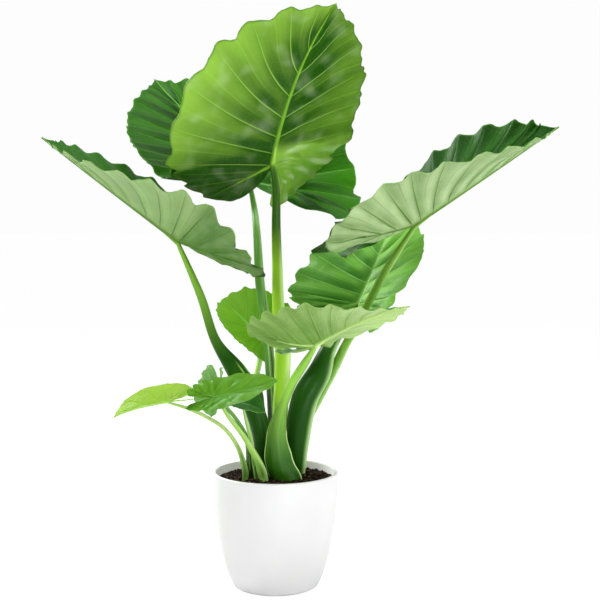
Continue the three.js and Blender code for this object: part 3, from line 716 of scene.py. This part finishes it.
def leaf_skin(name, deep, bright, vein, rib, margin, glow, vein_amount=0.6, width=0.05, rough=0.42,
              through=0.35, spots=0.3, gloss=0.28, streaks=0.22, sheen=0.0):
    """Living leaf skin. Its colour runs from deep to bright by the blade's tone mark, which holds painted
    light and shade along with the leaf's own tone, and by soft clouds. Painted highlights on crumpled lobes,
    soft patches of painted sheen, veins, ribs, margin and dark nibs are painted over; part of the light
    shines through as glow."""
    material, tree, skin = finish(name)
    place = own_place(tree)
    mask = add(tree, "ShaderNodeGroup", {"Width": width}, node_tree=vein_lines)
    opened = mark(tree, "open")
    calm = add(tree, "ShaderNodeMix", {"Factor": opened, "A": 0.5, "B": mask.outputs["Streaks"]},
               data_type="FLOAT").outputs["Result"]
    clouded = calc(tree, "MULTIPLY_ADD", noise(tree, place, 9.0, 3.0, 0.55), spots * 2, -spots)
    streaked = calc(tree, "MULTIPLY_ADD", calm, streaks * 2, -streaks)
    varied = calc(tree, "ADD", clouded, streaked)
    level = calc(tree, "ADD", mark(tree, "tone"), varied, use_clamp=True)
    net = calc(tree, "MULTIPLY", mask.outputs["Net"], opened)
    painted_sheen_patches = noise(tree, place, 24.0, 1.0, 0.4)
    clear = calc(tree, "MULTIPLY_ADD", mark(tree, "faint"), -vein_amount, vein_amount)
    colour = blend(tree, level, deep, bright)
    for share, over in (
        # Painted highlights (gleam) and patches of painted sheen come first, then the blade's own markings.
        (mark(tree, "gleam"), SHEEN),
        (ramp(tree, painted_sheen_patches, 0.5, 0.85, 0.0, sheen, soft=True), SHEEN),
        (calc(tree, "MULTIPLY", net, 0.05), vein),
        (calc(tree, "MULTIPLY", mask.outputs["Side veins"], clear), vein),
        (calc(tree, "MULTIPLY", mark(tree, "edge"), 0.7), margin),
        (mark(tree, "nib"), NIB_DARK),
        (mark(tree, "rib"), rib),
    ):
        colour = blend(tree, share, colour, over)
    tree.links.new(colour, skin.inputs["Base Color"])
    skin.inputs["Specular IOR Level"].default_value = gloss
    shine = ramp(tree, noise(tree, place, 70.0, 3.0), 0.3, 0.7, rough - 0.07, rough + 0.1)
    tree.links.new(shine, skin.inputs["Roughness"])
    fibres = calc(tree, "MULTIPLY_ADD", calm, 0.6, noise(tree, place, 55.0, 2.0))
    normal = relief(tree, skin, calc(tree, "MULTIPLY_ADD", net, -0.12, fibres), 0.7, 0.002)
    glowing = blend(tree, 0.35, colour, glow)
    passing = add(tree, "ShaderNodeBsdfTranslucent", {"Color": glowing, "Normal": normal})
    both = add(tree, "ShaderNodeMixShader",
               {"Fac": through, 1: skin.outputs["BSDF"], 2: passing.outputs["BSDF"]})
    tree.links.new(both.outputs["Shader"], tree.nodes["Material Output"].inputs["Surface"])
    return material


def stem_skin(name, low, high, lip, groove, side, top, split=0.5, blur=0.14, rough=0.34,
              flank=(0.4, 0.4), gloss=0.22, turn=(0.15, 0.85)):
    """Smooth fleshy stem. Its colour runs from low to high along the stem, with fine streaks, a paler lip
    along the sheath's edge, a groove painted dark as painted shade, and the flank on the right painted in
    the side colour as painted light: a painted highlight on most stems, painted shade on stem F."""
    material, tree, skin = finish(name)
    uv_map = add(tree, "ShaderNodeUVMap", uv_map="veins").outputs["UV"]
    spot = add(tree, "ShaderNodeSeparateXYZ", {"Vector": uv_map})
    along = spot.outputs["Y"]
    around = calc(tree, "MULTIPLY", spot.outputs["X"], 130.0)
    stretched = add(tree, "ShaderNodeCombineXYZ", {"X": around, "Y": calc(tree, "MULTIPLY", along, 5.0)})
    streak = noise(tree, stretched.outputs[0], 1.0, 3.0)
    tall = ramp(tree, along, split - blur, split + blur, soft=True)
    # Painted light on the right flank, the side that faces the side lamp: it takes the side colour, lighter
    # as a painted highlight on most stems, darker as painted shade on stem F.
    to_the_right = ramp(tree, mark(tree, "right"), *turn, soft=True)
    flank_painted_light = calc(tree, "MULTIPLY", to_the_right, ramp(tree, tall, 0.0, 1.0, *flank))
    colour = blend(tree, tall, low, high)
    for share, over in (
        (ramp(tree, along, 0.93, 1.15, soft=True), top),
        (flank_painted_light, side),
        (ramp(tree, mark(tree, "lip"), 0.75, 0.97), lip),
        # Painted shade: the groove of the sheath is painted darker.
        (mark(tree, "groove"), groove),
    ):
        colour = blend(tree, share, colour, over)
    dash = ramp(tree, streak, 0.3, 0.7, 0.93, 1.06)
    tree.links.new(blend(tree, 1.0, colour, dash, blend_type="MULTIPLY"), skin.inputs["Base Color"])
    skin.inputs["Specular IOR Level"].default_value = gloss
    tree.links.new(ramp(tree, streak, 0.0, 1.0, rough - 0.06, rough + 0.1), skin.inputs["Roughness"])
    relief(tree, skin, streak, 0.15, 0.0003)
    return material


def grow(letter, leaf, upper, under, skin):
    """One leaf as two pieces, its blade and its stem, each in the place of its own node."""
    blade(f"leaf_{letter}_blade", leaf, f"blade_{letter}", upper, under)
    stem(f"leaf_{letter}_stem", leaf, f"stem_{letter}", skin)


LEAF_A = habit(
    at=(-6, -12, 844), points=(0.19, -0.37, 0.91), faces=(-0.17, 0.9, 0.4),
    length=355, width=451, lobe=85, halves=(0.84, 1), fold=(44, -13), curl=(-21, -8),
    droop=23, sway=-17, twist=11, sag=25, tip_fold=-9, lobe_fold=(25, 5),
    waves=8, wave=(5.5, 4), rib=5.2, tip_step=0, puff=4.5, ruffle=1.5, crumple=(5.5, 1.2),
    scallop=(0.03, 0.022), back=(0.9, 0.68), soft=(0.06, 0.72), rolled=(0.5, 0.3), faint=(0, 0.75), seed=11,
    bays=(((0.9, 0.035, 0.07), (1.0, 0.05, -0.07)), ()),
    # Leaf A's tone paints light and shade: the right half darker and the left half lighter as the light
    # falls, the crumpled right lobe pale, and the lower left lobe dark as painted shade.
    light=(0.04, 0.24), light_rim=(0.6, 0.75), panel=(0.12, 0.12), light_tip=-0.32, light_lobe=(1.1, -0.95),
    stem=((3, 24, 15), (11, 22, 373, 15), (15, 18, 485, 15.5), (6, 12, 556, 12.5), (4, 2, 637, 10.5),
          (2, -8, 716, 9), (2, -22, 795, 7.5)),
    opens=(-0.3, 1, 0), groove=0.5, sheath=(0.12, 0.5),
)
upper_a = leaf_skin("leaf_a_upper", "2f6a1c", "4f9a2a", "8cc25a", "8cbf5a", "a7cf6a", "8fd030", rough=0.34)
under_a = leaf_skin("leaf_a_under", "184a00", "a8d650", "a8d85c", "8cc038", "3c6818", "70d810",
                    vein_amount=0.7, width=0.03, rough=0.34, through=0.28, spots=0.16, gloss=0.13,
                    streaks=0.1, sheen=0.22)
# Painted light on stem A: its upper part takes the dark high colour with a sharp change, as painted shadow
# cast by the blade, and its lower right flank takes a near white painted highlight.
skin_a = stem_skin("stem_a_skin", "98cc30", "30600a", "b9e070", "6f9f2c", "d8f8a0", "9cd048", split=0.7,
                   blur=0.08, flank=(0.85, 0.1), gloss=0.15)
grow("a", LEAF_A, upper_a, under_a, skin_a)

# Leaf B, behind leaf A
# A dark leaf that turns its glossy upper face to the front; its veins fan out to the left edge
# and down into the long right lobe.
LEAF_B = habit(
    at=(-57, 164, 815), points=(-0.61, 0.44, 0.66), faces=(0.11, -0.78, 0.62),
    length=337, width=525, lobe=(60, 160), fold=(31, -1), curl=5,
    droop=-9, sway=-5, twist=-7, sag=-45, tip_fold=-10, lobe_fold=(18, -37),
    waves=9, wave=5, rib=4.6, puff=6.5, ruffle=0.8, seed=12,
    light=(0.35, 0.45), light_rim=(0.1, 0.35), panel=(-0.35, 0.45), light_tip=0.1,
    stem=((-4, 56, 10), (-9, 62, 367, 10), (-18, 74, 489, 9.5), (-33, 88, 601, 10), (-40, 112, 702, 8),
          (-47, 155, 758, 6.5)),
    opens=(1, -0.5, 0), groove=0.6, wing=0.35, sheath=(0.15, 0.62),
)
upper_b = leaf_skin("leaf_b_upper", "0a3202", "387c0c", "80bc48", "78b850", "5fa038", "60c010",
                    vein_amount=0.5, rough=0.4, gloss=0.1, streaks=0.5)
under_b = leaf_skin("leaf_b_under", "5f9138", "93bd62", "5f8f3c", "8ab35c", "a8cc84", "8fd030")
# Painted shade on stem B: its lowest third takes the near black green low colour, as the shade among the
# stems.
skin_b = stem_skin("stem_b_skin", "1c3c10", "5c9438", "a9d080", "284c18", "b0d88c", "6a9a48", split=0.33,
                   blur=0.07, flank=(0.3, 0.6))
grow("b", LEAF_B, upper_b, under_b, skin_b)

# Leaf C, on the right behind leaf D's stem
# A broad green leaf seen on its upper face, with pale sunken side veins; its stem is the thickest,
# dark and glossy, and swells low down where it clasps the next ones.
LEAF_C = habit(
    at=(168, 72, 565), points=(0.38, 0.55, 0.75), faces=(-0.25, -0.72, 0.65),
    length=266, width=326, lobe=48, halves=(1, 0.74), fold=(0, 26), curl=(-1, 11),
    droop=0, sway=-4, twist=-9, sag=49, tip_fold=-22,
    waves=7, wave=4, rib=4.2, puff=4.6, ruffle=0.6, scallop=0.022, rolled=0.2, seed=13,
    light=(0.25, 0.7), light_rim=(0.25, 0.2), panel=(0.25, 0.3), light_tip=0.1,
    stem=((40, 12, 18), (44, 2, 294, 24), (58, -6, 376, 26), (88, -2, 432, 23), (105, 20, 474, 16),
          (135, 60, 516, 9.5)),
    opens=(-0.2, 1, 0.3), groove=0.6, wing=0.06, sheath=(0.15, 0.7),
)
upper_c = leaf_skin("leaf_c_upper", "38801c", "8ccc50", "a8d87c", "98cc60", "78b850", "78d020",
                    vein_amount=0.75, gloss=0.12)
under_c = leaf_skin("leaf_c_under", "6f9d48", "98bf6c", "5f8f3c", "8ab35c", "a8cc84", "8fd030")
skin_c = stem_skin("stem_c_skin", "1c480c", "204c10", "a4d46c", "143808", "b4dc8c", "98cc60", rough=0.3,
                   flank=(0.75, 0.75), gloss=0.08, turn=(0.5, 1.0))
grow("c", LEAF_C, upper_c, under_c, skin_c)

# Leaf D, reaching out to the right
# A keel-shaped leaf: the near half shows its pale underside with a dark midrib, and beyond it
# stands the dark, deeply ribbed upper face of the far half.
LEAF_D = habit(
    at=(269, -25, 726), points=(0.83, -0.07, 0.56), faces=(-0.55, 0.14, 0.83),
    length=339, width=351, lobe=169, fold=(33, 24), curl=(-3, 5),
    droop=-1, sway=0, twist=-27, sag=-6, tip_fold=-6, lobe_fold=(0, -8),
    waves=9, wave=4.5, rib=4.6, tip_step=0.11, puff=3.2, ruffle=0.8, crumple=0.8, scallop=(0.02, 0.008),
    rolled=(0.3, 0), seed=14,
    nibs=((), ((1.43, 0.025, 0.07), (1.63, 0.03, 0.09), (1.8, 0.06, 0.04), (2.07, 0.06, 0.38))),
    bays=(((2.5, 0.3, -0.5),), ((2.52, 0.28, -0.45),)),
    light=(0.4, 0.5), panel=(0.4, 0.26), light_tip=-0.05, light_lobe=(0.0, 0.1),
    stem=((43, 53, 10), (52, 48, 303, 11), (84, 45, 370, 10.5), (114, 40, 427, 10), (143, 34, 487, 8.5),
          (161, 24, 519, 8.3), (180, 6, 561, 8), (217, -10, 633, 8)),
    opens=(-0.4, 0.4, 1), wing=0.2,
)
upper_d = leaf_skin("leaf_d_upper", "0a3002", "286408", "5c9838", "70b048", "60a038", "50b010",
                    vein_amount=0.35, gloss=0.06, through=0.25)
under_d = leaf_skin("leaf_d_under", "608c34", "cce4a8", "4c7c28", "608c28", "9cc470", "a0e048",
                    vein_amount=0.9, width=0.034, rough=0.34, spots=0.2, streaks=0.12)
skin_d = stem_skin("stem_d_skin", "5c9428", "629024", "b8e080", "4f8430", "c4e898", "68942c")
grow("d", LEAF_D, upper_d, under_d, skin_d)

# Leaf E, low at the back
# A bright light green leaf half hidden behind the stems. It is one thin waved skin, and its slim
# stem leans to the back.
LEAF_E = habit(
    at=(-31, 128, 489), points=(-0.71, 0.32, 0.63), faces=(-0.01, -0.9, 0.45),
    length=129, width=200, lobe=38, halves=(0.74, 0.88), fold=(38, 18), curl=(14, 9),
    droop=19, sway=3, twist=4, sag=45, tip_fold=4,
    waves=6, wave=2.5, rib=2.8, puff=1.6, ruffle=0.4, grain=0.7, crumple=0.3, scallop=0.045, rolled=0,
    seed=15,
    light=0.5, light_rim=0.2, light_tip=0.1,
    stem=((-42, 44, 8), (-55, 84, 321, 7), (-43, 112, 402, 6), (-34, 130, 448, 5.5)),
    opens=(0.6, -0.6, 0),
)
upper_e = leaf_skin("leaf_e_upper", "64a018", "9ccc38", "a5d470", "a5d470", "4c8420", "9fe030",
                    vein_amount=0.5, through=0.45)
under_e = leaf_skin("leaf_e_under", "5a9a2c", "8fc850", "7fb044", "a5d470", "a5d470", "9fe030",
                    through=0.45)
skin_e = stem_skin("stem_e_skin", "9fcc60", "a9d46a", "c5e49a", "7fae4a", "cfe8a4", "a5d470")
grow("e", LEAF_E, upper_e, under_e, skin_e)

# Leaf F, low in front
# A leaf held flat toward the front and right, showing its pale underside and its stout midrib;
# the stem's sheath flares into two thin wings at the soil.
LEAF_F = habit(
    at=(76, -95, 498), points=(0.88, -0.04, 0.47), faces=(-0.37, 0.57, 0.74),
    length=202, width=351, lobe=118, halves=(0.5, 1), fold=(22, 4), curl=(2, -8),
    droop=26, sway=9, twist=-2, sag=-42, tip_fold=-26, lobe_fold=(24, 9),
    waves=7, wave=4, rib=4.4, tip_step=0.08, puff=2.0, ruffle=0.6, grain=0.9, crumple=0.4, seed=16,
    bays=(((2.0, 0.5, -0.45),), ((2.68, 0.28, -0.5),)),
    light=(0.35, 0.12), light_rim=(0.1, 0.15), panel=(0.1, 0.06), light_tip=0.9, light_lobe=(0.0, 0.1),
    stem=((22, -30, 21), (6, -40, 268, 18), (5, -49, 335, 12), (28, -65, 408, 9), (56, -87, 458, 8)),
    lip=(1.55, 0.22), opens=(0, 1, 0.2), groove=0.5, wing=0.5, sheath=(-0.1, 0.6), frill=0.1,
)
upper_f = leaf_skin("leaf_f_upper", "2f6a20", "4f8f34", "8fba70", "8fba70", "8fb86a", "7fc83a")
under_f = leaf_skin("leaf_f_under", "5c8c20", "c8e494", "6c9434", "c4e088", "a8cc70", "98e030",
                    vein_amount=0.7, width=0.035, spots=0.2)
skin_f = stem_skin("stem_f_skin", "2c600c", "88bc44", "d4f0a0", "38680f", "548424", "c4e088", blur=0.2,
                   flank=(0.0, 0.7), turn=(0.1, 0.7))
grow("f", LEAF_F, upper_f, under_f, skin_f)

# Leaf G, reaching out to the left
# The twin of leaf D on the left: a pale keeled underside in front and a strip of the dark upper
# face behind it. The stem is dark green and thick below.
LEAF_G = habit(
    at=(-187, -25, 694), points=(-0.79, -0.09, 0.6), faces=(0.58, 0.19, 0.79),
    length=331, width=327, lobe=171, fold=(26, 34), curl=(0, 2),
    droop=-1, sway=-3, twist=13, sag=-9, tip_fold=-23, lobe_fold=(-15, 0),
    waves=9, wave=(4, 4.5), rib=4.6, tip_step=0.11, puff=1.8, ruffle=0.8, crumple=0.6,
    scallop=(0.045, 0.02), rolled=(0.6, 0.3), seed=17,
    nibs=(((1.5, 0.025, 0.07), (1.87, 0.05, 0.07), (2.08, 0.05, 0.1)), ()),
    bays=(((1.62, 0.2, -0.15), (2.5, 0.28, -0.35)), ((2.5, 0.3, -0.4),)),
    light=0.45, panel=(0.14, 0.1), light_tip=0.2, light_lobe=(-0.4, 0.0),
    stem=((-28, 1, 16), (-27, -2, 296, 18), (-43, -5, 359, 19.5), (-82, -10, 432, 14),
          (-121, -16, 503, 9.5), (-147, -22, 587, 8)),
    lip=(0.35, 0.24), opens=(1, -0.3, 0), groove=0.1, wing=0.9, sheath=(0.4, 0.72),
)
upper_g = leaf_skin("leaf_g_upper", "144404", "3c7c1c", "78b058", "78b058", "6aa848", "58b018",
                    vein_amount=0.35, rough=0.4, gloss=0.08)
under_g = leaf_skin("leaf_g_under", "508424", "bcdc8c", "447428", "5c8c30", "8fb860", "98dc40",
                    vein_amount=0.85, width=0.034, rough=0.36, spots=0.2, streaks=0.12)
skin_g = stem_skin("stem_g_skin", "20500c", "78a838", "b8e470", "245410", "447018", "6c983c", split=0.8,
                   blur=0.18, rough=0.36, gloss=0.08, flank=(0.1, 0.7))
grow("g", LEAF_G, upper_g, under_g, skin_g)

# Young leaf H, far left
# A small thin yellow-green leaf that hangs out over the pot's side on a slim arching stem. It is
# nearly smooth, with faint side veins, and lets much light through.
LEAF_H = habit(
    at=(-204, -104, 390), points=(-0.98, -0.13, -0.16), faces=(-0.13, -0.26, 0.96),
    length=109, width=97, lobe=50, fold=19, curl=(6, 7),
    droop=19, sway=0, twist=-4, sag=8, tip_fold=3, lobe_fold=(0, 7),
    waves=4, wave=0.5, rib=2.0, puff=0.5, ruffle=0.2, grain=0.5, crumple=0.1, scallop=0.008, rolled=0,
    seed=18,
    light=0.5, light_rim=0.2, panel=(0.0, 0.05),
    stem=((-60, -34, 6), (-60, -38, 242, 6), (-73, -58, 292, 4.5), (-97, -76, 331, 4),
          (-129, -92, 356, 3.6), (-164, -103, 375, 3.4)),
    opens=(0.2, -1, 0.4), groove=0.35,
)
upper_h = leaf_skin("leaf_h_upper", "98c834", "c8e45c", "c8e878", "c8e878", "9fcc48", "c0f030",
                    vein_amount=0.12, through=0.45)
under_h = leaf_skin("leaf_h_under", "8fbe40", "bade6a", "a5cf58", "cfe890", "9fc850", "c4f040",
                    vein_amount=0.3, through=0.5)
skin_h = stem_skin("stem_h_skin", "5f9038", "a4c46c", "b9d484", "5f8f34", "cfe0a0", "c8e878", split=0.35)
grow("h", LEAF_H, upper_h, under_h, skin_h)

# Young leaf I, low in front on the left
# A small arrow-shaped leaf seen on its fresh green upper face, with its tip to the right. The
# skin bulges between its side veins, and the stem leans to the front left.
LEAF_I = habit(
    at=(-111, -120, 401), points=(0.93, -0.28, 0.22), faces=(-0.36, -0.68, 0.64),
    length=129, width=81, lobe=60, fold=(11, 20), curl=(-5, -1),
    droop=1, sway=-10, twist=2, sag=-1, tip_fold=0, lobe_fold=(16, 2),
    waves=4, wave=2.2, rib=2.0, puff=2.6, ruffle=0.2, grain=0.6, crumple=1.2, back=0.6, rolled=0.2, seed=19,
    light=(0.5, 0.35), light_rim=(0.0, 0.1), light_lobe=-0.1,
    stem=((-22, -42, 9), (-26, -47, 242, 9), (-39, -60, 275, 7), (-60, -82, 317, 5), (-89, -106, 362, 4)),
    opens=(-0.2, -1, 0.3), groove=0.5, wing=0.2, sheath=(0.2, 0.5),
)
upper_i = leaf_skin("leaf_i_upper", "509814", "8cc438", "98d468", "8cd058", "58a430", "88e028",
                    vein_amount=0.2, gloss=0.16, rough=0.5)
under_i = leaf_skin("leaf_i_under", "6a9f44", "8fbe62", "7aa850", "a5d47c", "8fbe62", "8fd83a")
skin_i = stem_skin("stem_i_skin", "7fae4c", "8fba54", "b9d98c", "5f9038", "b9d98c", "8cd058")
grow("i", LEAF_I, upper_i, under_i, skin_i)

# Young leaf J, curled behind leaf I
# A small half unrolled leaf that hangs down, on a stem with a dark sheath. Its
# pale halves are folded up along the midrib.
LEAF_J = habit(
    at=(-113, -62, 394), points=(-0.23, -0.15, -0.96), faces=(-0.65, -0.71, 0.27),
    length=43, width=90, lobe=63, fold=(33, 34), curl=(0, 2),
    droop=1, sway=9, twist=0, sag=-24, tip_fold=0, lobe_fold=(6, 5),
    waves=3, wave=2.5, rib=2.0, puff=1.0, ruffle=0.2, grain=0.5, scallop=0.03, rolled=0.5, seed=20,
    light=0.4,
    stem=((-51, -13, 8), (-50, -26, 256, 8.5), (-56, -34, 303, 5.5), (-76, -44, 344, 4),
          (-96, -50, 370, 3.6)),
    opens=(0.8, -0.6, 0), sheath=(0.2, 0.5),
)
upper_j = leaf_skin("leaf_j_upper", "7cb85c", "b4dc94", "8fbe78", "8fbe78", "5f9f3c", "7fc83a",
                    vein_amount=0.4)
under_j = leaf_skin("leaf_j_under", "8cbc70", "b8dca0", "6a9a50", "8fbe78", "8fbe62", "7fc83a")
skin_j = stem_skin("stem_j_skin", "2f5a20", "5f8f3c", "7fae58", "2a5018", "7fae58", "8fbe78", split=0.4)
grow("j", LEAF_J, upper_j, under_j, skin_j)

# Young leaf K, under leaf I's tip
# The smallest leaf, dark green, with its lower margin a little lighter. It is one thin
# skin, almost without waves, on a short stem.
LEAF_K = habit(
    at=(-63, -92, 385), points=(0.89, -0.42, -0.17), faces=(-0.11, -0.57, 0.81),
    length=52, width=49, lobe=22, fold=(14, 18), curl=(3, 7),
    droop=32, sway=2, twist=1, sag=10, tip_fold=4,
    waves=3, wave=1, rib=1.8, puff=0.6, ruffle=0.1, grain=0.4, crumple=0.1, scallop=0.015, rolled=0,
    seed=21,
    light=0.3, light_rim=(0.0, 0.3),
    stem=((-37, -30, 4.5), (-42, -42, 259, 4.5), (-47, -60, 305, 4), (-54, -78, 341, 3.5)),
    opens=(0.5, -1, 0.3), groove=0.3, sheath=(0.2, 0.5),
)
upper_k = leaf_skin("leaf_k_upper", "2f6f28", "4f9038", "7fb060", "7fb060", "8fbe62", "7fc83a",
                    vein_amount=0.3)
under_k = leaf_skin("leaf_k_under", "4f8540", "79a862", "6a9a50", "8fbe78", "8fbe62", "7fc83a")
skin_k = stem_skin("stem_k_skin", "7fae50", "8fb860", "b9d98c", "5f9038", "b9d98c", "7fb060")
grow("k", LEAF_K, upper_k, under_k, skin_k)

# Studio
# A wide white floor under a white sky that is dimmer in front. Five soft lamps stand high on the
# left in front, behind on the left to shine through the blades, above, on the right and low in
# front. The camera stands 2.5 m away at chest height and looks down a little.
FLOOR_REACH = 30
FLOOR_LEVEL = -0.0002
PURE_WHITE = (1, 1, 1, 1)


def soft_lamp(name, place, target, size, power):
    """A square area lamp at place that faces target."""
    lamp = bpy.data.lights.new(name, "AREA")
    lamp.size, lamp.energy = size, power
    holder = bpy.data.objects.new(name, lamp)
    bpy.context.scene.collection.objects.link(holder)
    x, y, z = (b - a for a, b in zip(place, target))
    tip = math.pi / 2 + math.atan2(z, math.hypot(x, y))
    holder.visible_camera = False
    holder.location = place
    holder.rotation_euler = (tip, 0, math.atan2(y, x) - math.pi / 2)


floor_white, tree, skin = finish("floor_white")
skin.inputs["Base Color"].default_value = (0.82, 0.82, 0.82, 1)
skin.inputs["Roughness"].default_value = 0.9
paper = add(tree, "ShaderNodeEmission", {"Color": PURE_WHITE, "Strength": 1.17})
seen = calc(tree, "MULTIPLY", add(tree, "ShaderNodeLightPath").outputs["Is Camera Ray"], 0.75)
both = add(tree, "ShaderNodeMixShader", {"Fac": seen, 1: skin.outputs["BSDF"], 2: paper.outputs["Emission"]})
tree.links.new(both.outputs["Shader"], tree.nodes["Material Output"].inputs["Surface"])
floor_mesh = bpy.data.meshes.new("floor")
corners = [(FLOOR_REACH * x, FLOOR_REACH * y, FLOOR_LEVEL) for x, y in ((-1, -1), (1, -1), (1, 1), (-1, 1))]
floor_mesh.from_pydata(corners, [], [(0, 1, 2, 3)])
floor_mesh.materials.append(floor_white)
floor = bpy.data.objects.new("floor", floor_mesh)
bpy.context.scene.collection.objects.link(floor)

sky = bpy.data.worlds.new("white_sky")
sky.use_nodes = True
tree = sky.node_tree
way = add(tree, "ShaderNodeSeparateXYZ", {"Vector": add(tree, "ShaderNodeTexCoord").outputs["Generated"]})
behind = ramp(tree, way.outputs["Y"], -0.2, 0.7, 0.28, 0.95, soft=True)
seen = add(tree, "ShaderNodeLightPath").outputs["Is Camera Ray"]
level = add(tree, "ShaderNodeMix", {"Factor": seen, "A": behind, "B": 0.983}, data_type="FLOAT")
tree.links.new(level.outputs["Result"], tree.nodes["Background"].inputs["Strength"])
tree.nodes["Background"].inputs["Color"].default_value = PURE_WHITE
bpy.context.scene.world = sky

soft_lamp("key_lamp", (-1.7, -1.5, 2.0), (0, 0, 0.7), 0.9, 34)
soft_lamp("back_lamp", (-1.5, 1.6, 2.0), (-0.05, 0, 0.85), 0.9, 85)
soft_lamp("top_lamp", (0.3, 0.1, 2.7), (0, 0, 0.3), 0.9, 34)
soft_lamp("side_lamp", (2.2, -0.9, 0.95), (0, 0, 0.4), 0.9, 26)
soft_lamp("low_lamp", (0.5, -1.2, 0.1), (0, 0, 0.95), 0.4, 7)

camera = bpy.data.cameras.new("camera")
camera.sensor_fit, camera.sensor_width, camera.lens = "HORIZONTAL", 36, 75.61
viewer = bpy.data.objects.new("camera", camera)
bpy.context.scene.collection.objects.link(viewer)
viewer.location = (0.0489, -2.5, 0.7667)
viewer.rotation_euler = (math.radians(90 - 4.34), 0, 0)
bpy.context.scene.camera = viewer
bpy.context.scene.view_settings.view_transform = "Standard"
